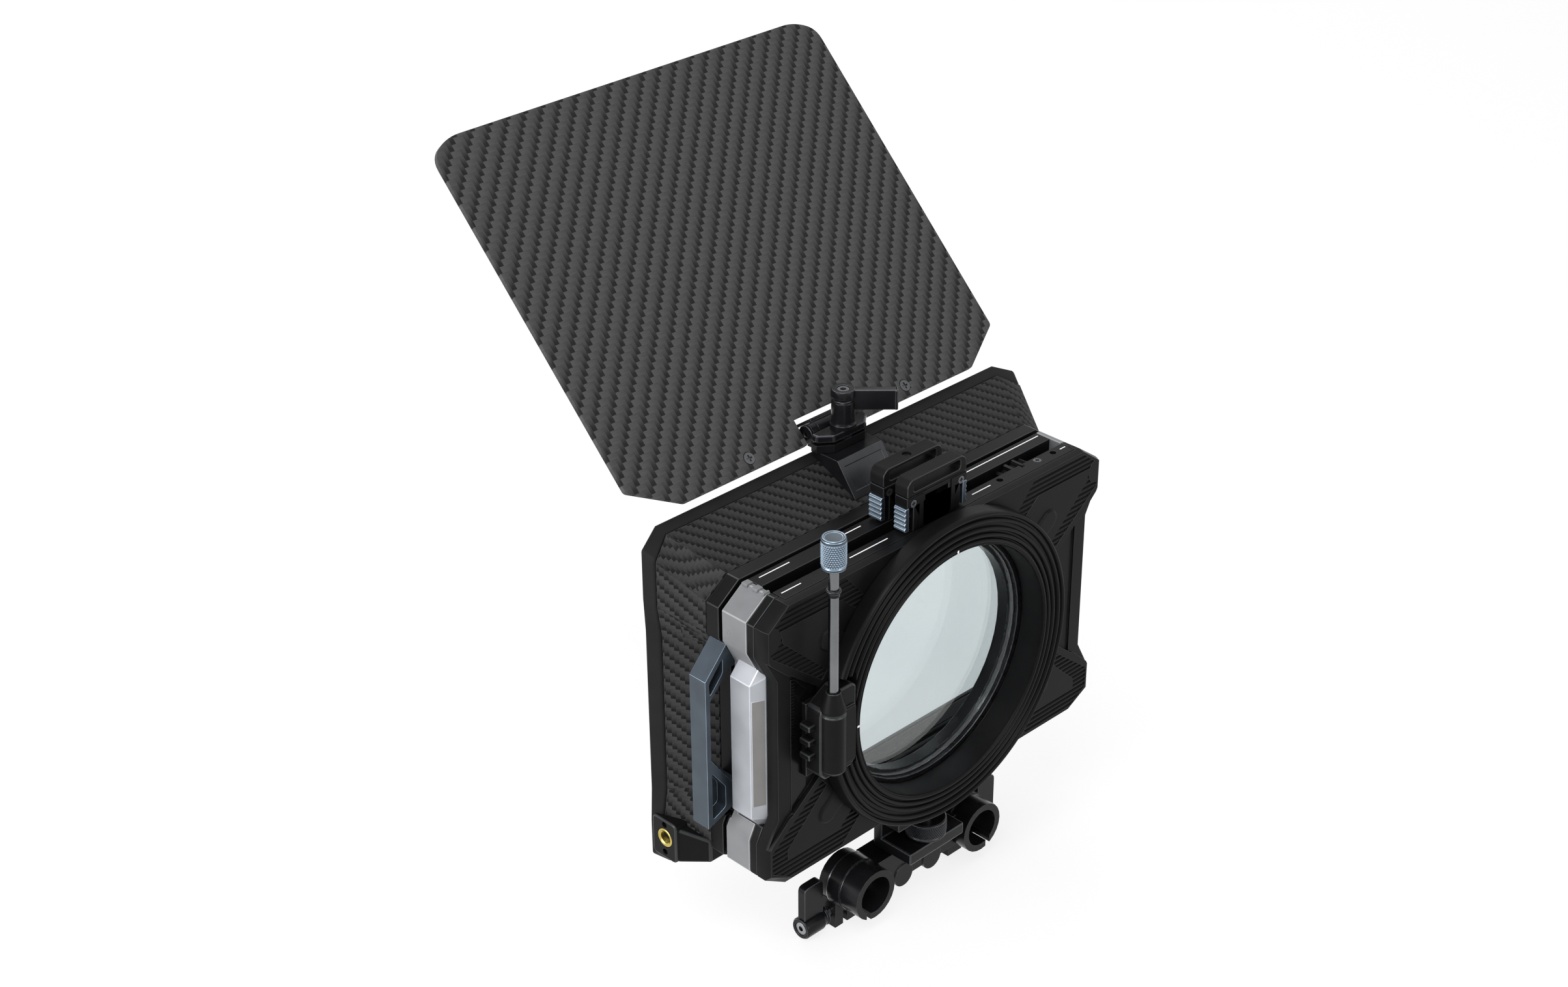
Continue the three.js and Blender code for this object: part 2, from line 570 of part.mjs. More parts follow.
// U-shaped frames in front of it, open at the top for the trays
function makeFrames() {
  const uFrame = (fromY, toY) => slabY(shellOutline(), fromY, toY)
    .subtract(slabY(rectangle(slot.halfWidth, slot.floorZ, aboveShell), fromY - overrun, toY + overrun));
  const plateRearY = layer.housingDepth + fit;
  const stageRearY = layer.plateFrontY + fit;
  const sealRearY = layer.stageFrontY + fit;
  const bandRearY = layer.sealFrontY + fit;
  const clearWindow = (fromY, toY) => slabY(rectangle(windowHalfWidth, -windowHalfHeight, windowHalfHeight),
    fromY - overrun, toY + overrun);
  let stage = uFrame(stageRearY, layer.stageFrontY);
  let seal = slabY(shellOutline(layer.sealInset), sealRearY, layer.sealFrontY)
    .subtract(clearWindow(sealRearY, layer.sealFrontY));
  let band = slabY(shellOutline(), bandRearY, layer.bandFrontY)
    .subtract(clearWindow(bandRearY, layer.bandFrontY));
  for (const side of Object.values(sides)) {
    const barRoom = slabY(barOutline(side, fit), stageRearY - overrun, bar.frontY + fit);
    stage = stage.subtract(barRoom).subtract(handleFootRoom(side));
    seal = seal.subtract(handleFootRoom(side));
    band = band.subtract(handleFootRoom(side));
  }
  piece("front_plate", uFrame(plateRearY, layer.plateFrontY), blackPlastic());
  piece("stage_frame", stage, greyPlastic());
  piece("stage_seal", seal, rubber());
  piece("hood_band", band, blackPlastic());
}

// Bright bars and blue handles on both sides
function makeSideGrips() {
  const stageRearY = layer.plateFrontY + fit;
  for (const [name, side] of Object.entries(sides)) {
    piece(`side_bar_${name}`, slabY(barOutline(side), stageRearY, bar.frontY), silverMetal());
    piece(`side_handle_${name}`, slabY(handleOutline(side), handle.rearY, handle.frontY), blueMetal());
  }
}

// Lens port ring with concentric ridges on its rear face
function makePortRing() {
  const valleyY = port.rearY + portSize.ridgeDepth;
  const half = portSize.ridgeHalfWidth;
  const crests = portSize.ridgeOffsets.map((offset) => ringPitchRadius + offset);
  const profile = [[port.boreRadius, port.spigotFrontY], [port.boreRadius, port.rearY]];
  crests.slice(1).forEach((crest, i) => {
    profile.push([crests[i] + half, port.rearY], [crests[i] + 2 * half, valleyY]);
    profile.push([crest - 2 * half, valleyY], [crest - half, port.rearY]);
  });
  profile.push([crests.at(-1) + half, port.rearY], [port.outerRadius, valleyY], [port.outerRadius, -fit],
    [port.spigotRadius, -fit], [port.spigotRadius, port.spigotFrontY]);
  const margin = driveSize.ringNotchMargin;
  const notch = box(-port.outerRadius - overrun, driveInnerX + margin, port.rearY - overrun, -fit / 2,
    driveSize.bottomZ - margin, driveSize.coneTopZ + margin);
  piece("port_ring", turned(profile).subtract(notch), blackPlastic());
}

// Window strip in the left recess
function makeScaleStrip() {
  const frontY = recess.depth - fit;
  piece("scale_window", box(-scaleStrip.outerX, -scaleStrip.innerX, frontY - stripSize.thickness, frontY,
    -scaleStrip.halfHeight, scaleStrip.halfHeight), rubber());
}

// Drive housing: a block with a round nose, a cone on top and a chamber for the bevel gears
function makeDriveHousing() {
  const { topZ, bottomZ, coneTopZ } = driveSize;
  const baseHalfHeight = recess.innerZ - driveSize.baseInset;
  const plugRadius = pinionShaft.radius + fit;
  let body = box(driveOuterX, driveInnerX, -driveSize.rise, -fit, bottomZ, topZ);
  body = body.add(box(driveSize.baseGap - scaleStrip.innerX, -recess.innerX - fit, -2 * fit,
    recess.depth - fit, -baseHalfHeight, baseHalfHeight));
  body = body.add(cylinderZ(driveSize.noseRadius, pinionX, shaftY, bottomZ, topZ));
  body = body.add(cylinderZ(driveSize.noseRadius, pinionX, shaftY, topZ, coneTopZ, roundSegments,
    driveSize.coneTopRadius));
  body = body.subtract(cylinderZ(driveSize.chamberRadius, pinionX, shaftY, driveSize.chamberBottomZ,
    driveSize.chamberTopZ));
  body = body.subtract(cylinderY(driveSize.throatRadius, pinionX, 0, shaftY - fit, -2 * fit, smallSegments));
  body = body.subtract(cylinderZ(driveSize.shaftBoreRadius, pinionX, shaftY, 0, coneTopZ + overrun,
    smallSegments));
  body = body.subtract(cylinderY(plugRadius, pinionX, 0, shaftY, recess.depth + overrun, smallSegments));
  piece("drive_housing", body, blackPlastic());
}

// Toothed cone round one axis, its small end nearest the apex of the pair
function bevelRings() {
  const ring = (peak, valley, along) => {
    const points = [];
    for (let i = 0; i < 2 * bevel.teeth; i += 1) {
      const angle = Math.PI * i / bevel.teeth;
      const reach = i % 2 === 0 ? peak : valley;
      points.push([reach * Math.cos(angle), reach * Math.sin(angle), along]);
    }
    return points;
  };
  const near = bevel.offset;
  const far = bevel.offset + bevel.length;
  return [
    ring(bevel.smallRadius, bevel.smallRadius * bevel.valleyShare, near),
    ring(bevel.largeRadius, bevel.largeRadius * bevel.valleyShare, far),
    ring(bevel.boreRadius, bevel.boreRadius, far),
    ring(bevel.boreRadius, bevel.boreRadius, near),
  ];
}

// Knob with its shaft and bevel, and the pinion that it turns
function makeDrive() {
  const knobTopZ = shell.halfHeight + knobSize.top;
  const knobFootZ = shell.halfHeight + knobSize.foot;
  const shaftTopZ = shell.halfHeight + knobSize.shaftTop;
  const collarFootZ = shell.halfHeight + knobSize.collarFoot;
  const collarTopZ = shell.halfHeight + knobSize.collarTop;
  const farEnd = bevel.offset + bevel.length;
  const vertical = bevelRings().map((ring) => ring.map(([a, b, along]) => [pinionX + a, shaftY + b, along]));
  const level = bevelRings().map((ring) => ring.map(([a, b, along]) => [pinionX + a, shaftY + along, b]));
  const shaft = cylinderZ(knobSize.shaftRadius, pinionX, shaftY, bevel.offset, shaftTopZ);
  piece("knob_shaft", ringLoft(vertical).add(shaft), steel());
  const boreRadius = knobSize.shaftRadius + fit;
  const collar = cylinderZ(knobSize.collarRadius, pinionX, shaftY, collarFootZ, collarTopZ)
    .subtract(cylinderZ(boreRadius, pinionX, shaftY, collarFootZ - overrun, collarTopZ + overrun));
  piece("knob_collar", collar, blackPlastic());
  const crownZ = knobTopZ - knobSize.chamfer;
  const head = cylinderZ(knobSize.radius, pinionX, shaftY, knobFootZ, crownZ)
    .add(cylinderZ(knobSize.radius, pinionX, shaftY, crownZ, knobTopZ, roundSegments,
      knobSize.radius - knobSize.chamfer))
    .subtract(cylinderZ(boreRadius, pinionX, shaftY, knobFootZ - overrun, shaftTopZ + fit));
  piece("drive_knob", head, blueMetal());
  const halfTooth = Math.PI / gearSize.pinionTeeth;
  const pinion = slabY(gearOutline(gearSize.pinionTeeth, pinionX, 0, halfTooth), gearRearY, gearFrontY)
    .add(cylinderY(pinionShaft.radius, pinionX, 0, shaftY + farEnd - fit, gearRearY + fit, smallSegments))
    .add(ringLoft(level));
  piece("drive_pinion", pinion, steel());
}

// Round polariser: toothed ring with a spigot in the tray, and its glass
function makePolariser() {
  const centre = polariser.boreRadius;
  const ring = slabY(gearOutline(gearSize.ringTeeth, 0, 0, 0), gearRearY, gearFrontY)
    .subtract(cylinderY(centre, 0, 0, gearRearY - overrun, gearFrontY + overrun, fineSegments));
  const seatFrontY = polariser.glassRearY + polariser.glassThickness + fit;
  const spigot = turned([
    [polariser.spigotRadius, polariser.spigotRearY],
    [polariser.spigotRadius, gearRearY + fit],
    [centre, gearRearY + fit],
    [centre, seatFrontY],
    [polariser.glassRadius + fit, seatFrontY],
    [polariser.glassRadius + fit, polariser.spigotRearY],
  ]);
  piece("polariser_ring", ring.add(spigot), blackMetal());
  piece("polariser_glass", cylinderY(polariser.glassRadius, 0, 0, polariser.glassRearY,
    polariser.glassRearY + polariser.glassThickness, fineSegments), glass());
  const backToRing = thumbAngle + Math.PI + Math.PI / gearSize.thumbTeeth;
  const wheelOutline = gearOutline(gearSize.thumbTeeth, thumbX, thumbZ, backToRing);
  const wheel = slabY(wheelOutline, thumbWheel.rearY, thumbWheel.frontY)
    .subtract(cylinderY(thumbWheel.axleRadius + fit, thumbX, thumbZ, thumbWheel.rearY - overrun,
      thumbWheel.frontY + overrun, smallSegments));
  piece("thumb_gear", wheel, blackPlastic());
  const axle = cylinderY(thumbWheel.axleRadius, thumbX, thumbZ, thumbWheel.axleRearY, thumbWheel.frontY,
    smallSegments);
  piece("thumb_axle", axle, steel());
}

// Rear tray plate: round seat, channel for the pinion's shaft and a pocket for the thumb gear
function makeRearTrayFrame() {
  const frontY = tray.rearY + tray.rearThickness;
  const footZ = slot.floorZ + fit;
  const tip = pitchOf(gearSize.thumbTeeth) + gearModule * gearSize.addendumShare + fit;
  const body = slabY(rectangle(tray.halfWidth, footZ, tray.topZ), tray.rearY, frontY)
    .subtract(cylinderY(polariser.seatRadius, 0, 0, tray.rearY - overrun, frontY + overrun, fineSegments))
    .subtract(box(pinionX - pinionShaft.channelHalfWidth, pinionX + pinionShaft.channelHalfWidth,
      tray.rearY - overrun, frontY + overrun, footZ - overrun, pinionShaft.channelHalfWidth))
    .subtract(cylinderY(tip, thumbX, thumbZ, thumbWheel.rearY - fit, frontY + overrun))
    .subtract(cylinderY(thumbWheel.axleRadius + fit, thumbX, thumbZ, thumbWheel.axleRearY - fit, frontY,
      smallSegments));
  piece("rear_tray_frame", body, blackPlastic());
}

// Front tray plate with its rectangular filter
function makeFrontTrayFrame() {
  const frontY = tray.frontY + tray.frontThickness;
  const footZ = slot.floorZ + fit;
  const pocketRearY = tray.frontY + filter.lipDepth;
  const glassRearY = pocketRearY + fit;
  const body = slabY(rectangle(tray.halfWidth, footZ, tray.topZ), tray.frontY, frontY)
    .subtract(box(-tray.apertureHalfWidth, tray.apertureHalfWidth, tray.frontY - overrun, frontY + overrun,
      -tray.apertureHalfHeight, tray.apertureHalfHeight))
    .subtract(box(-filter.halfWidth - fit, filter.halfWidth + fit, pocketRearY, frontY + overrun,
      -filter.halfHeight - fit, filter.halfHeight + fit));
  piece("front_tray_frame", body, blackPlastic());
  const pane = box(-filter.halfWidth, filter.halfWidth, glassRearY, glassRearY + filter.thickness,
    -filter.halfHeight, filter.halfHeight);
  piece("front_filter_glass", pane, glass());
}

// Serrated latch plate with its guide stem
function latchSolid(side, rearY, frontY) {
  const pitch = (latch.topZ - latch.floorZ) / latchSize.grooves;
  const points = [[latch.innerX, latch.topZ], [latch.innerX, latch.floorZ]];
  for (let groove = 0; groove < latchSize.grooves; groove += 1) {
    const z = latch.floorZ + groove * pitch;
    points.push([latch.outerX - latchSize.grooveDepth, z], [latch.outerX, z + pitch / 3],
      [latch.outerX, z + 2 * pitch / 3]);
  }
  points.push([latch.outerX - latchSize.grooveDepth, latch.topZ]);
  const plate = slabY(points.map(([x, z]) => [side * x, z]), rearY, frontY);
  const middleZ = (latch.floorZ + latch.topZ) / 2;
  const stem = cylinderX(latchSize.stemRadius, (rearY + frontY) / 2, middleZ,
    side * (latch.innerX - latchSize.stemLength), side * (latch.innerX + fit), smallSegments);
  return plate.add(stem);
}

// Grip on top of a tray: block, strap, latches and screws
function makeGrip(name, rearY, thickness) {
  const frontY = rearY + thickness;
  const footZ = tray.topZ + fit;
  const middleY = (rearY + frontY) / 2;
  const middleZ = (latch.floorZ + latch.topZ) / 2;
  let block = box(-grip.halfWidth, grip.halfWidth, rearY, frontY, footZ, grip.topZ)
    .subtract(box(-grip.windowHalfWidth, grip.windowHalfWidth, rearY - overrun, frontY + overrun,
      grip.windowFloorZ, grip.windowTopZ));
  const strapRight = [
    [strap.footHalfWidth, grip.topZ + fit],
    [strap.sideHalfWidth, strap.sideTopZ],
    [strap.topHalfWidth, strap.topZ],
  ];
  const strapOutline = [...strapRight, ...strapRight.map(([x, z]) => [-x, z]).reverse()];
  const straps = slabY(strapOutline, rearY, frontY)
    .subtract(box(-strap.openingHalfWidth, strap.openingHalfWidth, rearY - overrun, frontY + overrun,
      strap.openingFloorZ, strap.openingTopZ));
  for (const [sideName, side] of Object.entries(sides)) {
    const pocketX = side * (latch.innerX - latchSize.travelRoom);
    const stemEnd = side * (latch.innerX - latchSize.stemLength - latchSize.travelRoom);
    block = block.subtract(box(pocketX, side * (grip.halfWidth + overrun), rearY - overrun, frontY + overrun,
      footZ - overrun, latch.topZ + fit));
    block = block.subtract(cylinderX(latchSize.stemRadius + fit, middleY, middleZ, stemEnd,
      pocketX + side * overrun, smallSegments));
    piece(`${name}_latch_${sideName}`, latchSolid(side, rearY + fit, frontY - fit), blueMetal());
  }
  piece(`${name}_tray_grip`, block, blackPlastic());
  piece(`${name}_tray_strap`, straps, rubber());
}

// Hood edge points, from the rear edge at share 0 to the front edge at share 1
function hoodRing(shareOf, wall, grow = 0) {
  const rear = shellOutline();
  const halfFront = [
    [hood.topHalfWidth, hood.topY, hood.topZ],
    [hood.sideX, hood.sideY, hood.sideTopZ],
    [hood.sideX, hood.sideY, hood.stepTopZ],
    [hood.recessX, hood.sideY, hood.recessZ],
    [hood.recessX, hood.sideY, -hood.recessZ],
    [hood.sideX, hood.sideY, -hood.stepTopZ],
    [hood.sideX, hood.sideY, hood.sideBottomZ],
    [hood.topHalfWidth, hood.bottomY, hood.bottomZ],
  ];
  const front = [...halfFront, ...halfFront.map(([x, y, z]) => [-x, y, z]).reverse()];
  const rearY = layer.bandFrontY + fit;
  return front.map(([x, y, z], i) => {
    const [rearX, rearZ] = rear[i];
    const share = shareOf(i % halfFront.length === 0 || i % halfFront.length === halfFront.length - 1);
    const px = rearX + (x - rearX) * share;
    const pz = rearZ + (z - rearZ) * share;
    const inward = wall - grow;
    return [px - Math.sign(px) * inward, rearY + (y - rearY) * share, pz - Math.sign(pz) * inward];
  });
}

const lipShare = (top) => (top ? hoodSize.topLipShare : hoodSize.sideLipShare);
const lipGapShare = fit / hoodSize.sideDepth;

function makeHood() {
  const rearShare = () => 0;
  const frontShare = () => 1;
  const skinFront = (top) => lipShare(top) - lipGapShare;
  const walled = (from, to, wall) => ringLoft([hoodRing(from, 0), hoodRing(to, 0), hoodRing(to, wall),
    hoodRing(from, wall)]);
  piece("hood_shell", walled(rearShare, skinFront, hoodSize.wall), carbon());
  piece("hood_lip", walled(lipShare, frontShare, hoodSize.lipWall), blackPlastic());
}

// Solid that fills the hood's outer form, grown by the fit, to cut what is seated on it
function hoodRoom() {
  const shares = [() => -lipGapShare, lipShare, () => 1 + lipGapShare];
  const outer = shares.map((share) => hoodRing(share, 0, fit));
  const core = outer.map((ring) => ring.map(([x, y, z]) => [Math.sign(x) * fit, y, Math.sign(z) * fit]));
  return ringLoft([...outer, core[2], core[0]]);
}

// Accessory bosses and their brass inserts
function makeBosses() {
  for (const [name, side] of Object.entries(sides)) {
    const face = side * boss.faceX;
    const deep = side * (boss.faceX - bossSize.insertDepth);
    const outside = side * (boss.faceX + overrun);
    const pinEnd = side * (boss.faceX - bossSize.pinDepth);
    let body = box(side * boss.innerX, face, boss.rearY, boss.frontY, boss.bottomZ, boss.topZ)
      .subtract(hoodRoom());
    body = body.subtract(cylinderX(bossSize.insertRadius + fit, boss.insertY, boss.insertZ, deep, outside));
    for (const z of [boss.insertZ + bossSize.pinRise, boss.insertZ - bossSize.pinDrop]) {
      body = body.subtract(cylinderX(bossSize.pinRadius, boss.insertY, z, pinEnd, outside, smallSegments));
    }
    piece(`accessory_boss_${name}`, body, blackPlastic());
    const insert = cylinderX(bossSize.insertRadius, boss.insertY, boss.insertZ, deep + side * fit, face)
      .subtract(cylinderX(bossSize.threadRadius, boss.insertY, boss.insertZ, side * boss.innerX, outside));
    piece(`threaded_insert_${name}`, insert, brass());
  }
}

// Height of the hood's top surface at a given Y
function hoodTopZ(y) {
  const slope = (hood.topZ - shell.halfHeight) / (hood.topY - layer.bandFrontY - fit);
  return shell.halfHeight + (y - layer.bandFrontY - fit) * slope;
}

// Wedge foot on the hood, clamp plates, hinge ears and pin
function makeFlagClamp() {
  const tipZ = hoodTopZ(clamp.footTipY) + fit;
  const frontZ = hoodTopZ(clamp.footFrontY) + fit;
  const wedge = [
    [clamp.footTipY, tipZ],
    [clamp.footFrontY, frontZ],
    [clamp.footFrontY, clamp.footTopZ],
    [clamp.rampTopY, clamp.footTopZ],
  ];
  piece("flag_foot", slabX(wedge, -clampSize.footHalfWidth, clampSize.footHalfWidth), blackPlastic());
  const planRight = [
    [clampSize.plateRearHalfWidth, clamp.plateRearY],
    [clampSize.plateHalfWidth, clamp.plateSideY],
    [clampSize.plateHalfWidth, clamp.plateFrontY],
  ];
  const plan = [...planRight, ...planRight.map(([x, y]) => [-x, y]).reverse()];
  const baseFootZ = clamp.footTopZ + fit;
  const bolt = cylinderZ(clampSize.boltRadius + fit, 0, post.y, baseFootZ - overrun,
    clamp.plateTopZ + overrun, smallSegments);
  let base = slabZ(plan, baseFootZ, clamp.baseTopZ);
  base = base.add(cylinderZ(clampSize.spacerRadius, 0, post.y, clamp.baseTopZ - fit, clamp.plateFootZ - fit));
  for (const side of Object.values(sides)) {
    const inner = side * hinge.earInnerX;
    const outer = side * hinge.earOuterX;
    base = base.add(cylinderX(hinge.knuckleRadius, hingeY, hingeZ, inner, outer, roundSegments));
    base = base.add(box(inner, outer, clamp.plateFrontY - fit, hingeY, baseFootZ, clamp.baseTopZ));
  }
  base = base.subtract(bolt);
  base = base.subtract(cylinderX(hinge.pinRadius + fit, hingeY, hingeZ, -hinge.earOuterX - overrun,
    hinge.earOuterX + overrun, smallSegments));
  piece("flag_clamp_base", base, blackMetal());
  piece("flag_clamp_plate", slabZ(plan, clamp.plateFootZ, clamp.plateTopZ).subtract(bolt), blackMetal());
  const discX = hinge.earOuterX + fit;
  let pin = cylinderX(hinge.pinRadius, hingeY, hingeZ, -discX - fit, discX + fit, smallSegments);
  for (const side of Object.values(sides)) {
    const discEnd = side * (discX + hinge.discThickness);
    pin = pin.add(cylinderX(hinge.discRadius, hingeY, hingeZ, side * discX, discEnd));
  }
  piece("flag_hinge_pin", pin, blackMetal());
}

// Clamp post, its lever and the lever's bolt
function makeFlagLever() {
  const sleeve = cylinderZ(clampSize.postRadius, 0, post.y, clamp.plateTopZ + fit, post.topZ)
    .subtract(cylinderZ(clampSize.boltRadius + fit, 0, post.y, clamp.plateTopZ - overrun, post.topZ + overrun,
      smallSegments));
  piece("flag_clamp_post", sleeve, blackMetal());
  const paddleTopZ = hubTopZ - flagLever.paddleTopDrop;
  const paddleFootZ = hubFootZ - flagLever.paddleDrop;
  const paddleLength = flagLever.length - flagLever.paddleStart;
  const paddle = new THREE.BoxGeometry(paddleLength, 2 * flagLever.halfThickness, paddleTopZ - paddleFootZ);
  paddle.translate(flagLever.length - paddleLength / 2, 0, (paddleTopZ + paddleFootZ) / 2);
  paddle.rotateZ(THREE.MathUtils.degToRad(flagLever.turnDegrees));
  paddle.translate(0, post.y, 0);
  const sleeveRoom = cylinderZ(clampSize.postRadius + fit, 0, post.y, paddleFootZ - overrun, hubFootZ);
  const hub = cylinderZ(flagLever.hubRadius, 0, post.y, hubFootZ, hubTopZ)
    .add(solid(paddle))
    .subtract(sleeveRoom)
    .subtract(cylinderZ(flagLever.capHole, 0, post.y, paddleFootZ, hubTopZ + overrun));
  piece("flag_clamp_lever", hub, blackPlastic());
  const stem = cylinderZ(clampSize.boltRadius, 0, post.y, clamp.footTopZ + 2 * fit, hubTopZ, smallSegments);
  const head = cylinderZ(flagLever.capRadius, 0, post.y, hubFootZ + fit, hubTopZ + flagLever.capRise);
  piece("flag_clamp_bolt", stem.add(head), blackMetal());
}

// Top flag, its hinge leaf and screws, drawn upright and then tilted
function makeFlag() {
  const tilted = new THREE.Group();
  tilted.position.set(0, flagOriginY, flagOriginZ);
  tilted.rotation.x = THREE.MathUtils.degToRad(flag.tiltDegrees);
  group.add(tilted);
  const right = [
    [flag.notchHalfWidth, flag.notchDepth],
    [flag.notchHalfWidth, 0],
    [flag.halfWidth - flag.lowCornerX, 0],
    [flag.halfWidth, flag.lowCornerZ],
    [flag.halfWidth, flag.height - flag.topCornerZ],
    [flag.halfWidth - flag.topCornerX, flag.height],
  ];
  const outline = [...right, ...right.map(([x, z]) => [-x, z]).reverse()];
  let plate = slabY(outline, 0, flag.thickness);
  const angle = THREE.MathUtils.degToRad(flag.tiltDegrees);
  const dy = hingeY - flagOriginY;
  const dz = hingeZ - flagOriginZ;
  const axisY = dy * Math.cos(angle) + dz * Math.sin(angle);
  const axisZ = -dy * Math.sin(angle) + dz * Math.cos(angle);
  const barRearY = flag.thickness + fit;
  const barFrontY = barRearY + leaf.barThickness;
  const discEndX = hinge.earOuterX + hinge.discThickness + 2 * fit;
  const saddleFootZ = axisZ + hinge.discRadius + fit;
  let hingeLeaf = box(-leaf.barHalfWidth, leaf.barHalfWidth, barRearY, barFrontY, leaf.barFootZ, leaf.barTopZ)
    .subtract(box(-discEndX, discEndX, barRearY - overrun, barFrontY + overrun, -overrun, saddleFootZ))
    .add(box(-leaf.saddleHalfWidth, leaf.saddleHalfWidth, barRearY, barFrontY, saddleFootZ, leaf.saddleTopZ))
    .add(box(-hinge.knuckleHalfWidth, hinge.knuckleHalfWidth, axisY - hinge.pinRadius, barRearY + fit,
      leaf.barFootZ, saddleFootZ + fit))
    .add(cylinderX(hinge.knuckleRadius, axisY, axisZ, -hinge.knuckleHalfWidth, hinge.knuckleHalfWidth))
    .subtract(cylinderX(hinge.pinRadius + fit, axisY, axisZ, -hinge.knuckleHalfWidth - overrun,
      hinge.knuckleHalfWidth + overrun, smallSegments));
  for (const [name, side] of Object.entries(sides)) {
    const x = side * flag.screwX;
    const bore = flag.screwRadius / 2 + fit;
    plate = plate.subtract(cylinderY(flag.screwRadius + fit, x, flag.screwZ, -overrun, flag.screwHead + fit,
      smallSegments));
    plate = plate.subtract(cylinderY(bore, x, flag.screwZ, 0, flag.thickness + overrun, smallSegments));
    hingeLeaf = hingeLeaf.subtract(cylinderY(bore, x, flag.screwZ, flag.thickness, barFrontY + overrun,
      smallSegments));
    const screw = cylinderY(flag.screwRadius, x, flag.screwZ, 0, flag.screwHead, smallSegments)
      .add(cylinderY(flag.screwRadius / 2, x, flag.screwZ, 0, barFrontY, smallSegments));
    piece(`flag_screw_${name}`, screw, blackMetal(), tilted);
  }
  piece("top_flag", plate, carbon(), tilted);
  piece("flag_leaf", hingeLeaf, blackMetal(), tilted);
}

// Split clamp for one rod, with its jaws
function rodClamp(side) {
  const x = side * rod.spacing / 2;
  const bore = rod.radius + rod.clearance;
  let body = cylinderY(barrel.radius, x, rodZ, barrel.rearY, barrel.frontY)
    .add(cylinderY(barrel.collarRadius, x, rodZ, barrel.collarRearY, barrel.collarFrontY))
    .add(box(side * jaw.outerX, side * jaw.innerX, jaw.rearY, barrel.frontY, jaw.bottomZ, jaw.topZ));
  body = body.subtract(cylinderY(bore, x, rodZ, barrel.rearY - overrun, barrel.frontY + overrun));
  body = body.subtract(box(side * jaw.outerSlitX, side * jaw.innerSlitX, barrel.rearY - overrun,
    barrel.frontY + overrun, jaw.bottomZ - overrun, rodZ));
  return body.subtract(cylinderX(rodLeverSize.screwRadius + fit, rodLever.axisY, rodLever.axisZ,
    side * (rodLever.screwEndX - fit), side * (jaw.outerX + overrun), smallSegments));
}

// Lever that closes one clamp: a hub along X with a flat paddle upwards
function rodLeverSolid(side) {
  const { axisY, axisZ } = rodLever;
  const half = rodLeverSize.paddleHalfThickness;
  return cylinderX(rodLeverSize.hubRadius, axisY, axisZ, side * rodLever.outerX, side * rodLever.innerX)
    .add(box(side * rodLever.outerX, side * rodLever.paddleInnerX, axisY - half, axisY + half, axisZ,
      rodLever.topZ))
    .subtract(cylinderX(rodLeverSize.screwRadius + fit, axisY, axisZ, side * (rodLever.outerX + overrun),
      side * (rodLever.innerX - overrun), smallSegments));
}

function makeRodClamps() {
  for (const [name, side] of Object.entries(sides)) {
    piece(`rod_clamp_${name}`, rodClamp(side), blackMetal());
    piece(`rod_lever_${name}`, rodLeverSolid(side), blackPlastic());
    piece(`clamp_screw_${name}`, cylinderX(rodLeverSize.screwRadius, rodLever.axisY, rodLever.axisZ,
      side * rodLever.screwEndX, side * rodLever.outerX, smallSegments), steel());
  }
}

// Bridge between the rod clamps, the arm above it and the lug under the housing
function makeBracket() {
  let body = box(-bridge.halfWidth, bridge.halfWidth, bridgeSize.rearY, bridgeSize.frontY, bridge.bottomZ,
    bridge.topZ);
  for (const side of Object.values(sides)) {
    const x = side * rod.spacing / 2;
    body = body.add(cylinderY(bridgeSize.lobeRadius, side * bridgeSize.lobeX, bridge.lobeZ,
      bridgeSize.lobeRearY, bridgeSize.lobeFrontY));
    body = body.subtract(cylinderY(barrel.radius + fit, x, rodZ, bridgeSize.rearY - overrun,
      bridgeSize.frontY + overrun));
    body = body.subtract(cylinderY(barrel.collarRadius + fit, x, rodZ, barrel.collarRearY - fit,
      barrel.collarFrontY + fit));
    body = body.subtract(box(side * (jaw.innerX - fit), side * jaw.outerX, jaw.rearY - fit,
      bridgeSize.frontY + overrun, jaw.bottomZ, jaw.topZ + fit));
  }
  piece("clamp_bridge", body, blackMetal());
  const underside = -shell.halfHeight - fit;
  const screwHole = cylinderZ(nut.screwRadius + fit, 0, nut.y, arm.shelfFootZ - overrun,
    bracketScrewTopZ + fit, smallSegments);
  const shelf = box(-armSize.halfWidth, armSize.halfWidth, armSize.shelfRearY, armSize.frontY,
    arm.shelfFootZ, arm.shelfTopZ);
  const neck = box(-armSize.halfWidth, armSize.halfWidth, armSize.plateRearY, armSize.frontY,
    arm.shelfFootZ, underside);
  piece("bracket_arm", shelf.add(neck).subtract(screwHole), blackMetal());
  const lugFootZ = -shell.halfHeight - lug.height;
  const lugBlock = box(-lug.halfWidth, lug.halfWidth, 0, lug.frontY, lugFootZ, underside);
  piece("bracket_lug", lugBlock.subtract(screwHole), blackPlastic());
  const ribbed = [];
  for (let i = 0; i < 2 * nut.ribs; i += 1) {
    const angle = Math.PI * i / nut.ribs;
    const radius = i % 2 === 0 ? nut.radius : nut.radius * nut.ribShare;
    ribbed.push([radius * Math.cos(angle), nut.y + radius * Math.sin(angle)]);
  }
  piece("thumb_nut", slabZ(ribbed, nutFootZ, nutTopZ).subtract(screwHole), blackMetal());
  const screw = cylinderZ(nut.screwRadius, 0, nut.y, arm.shelfFootZ + fit, bracketScrewTopZ, smallSegments);
  piece("bracket_screw", screw, steel());
}

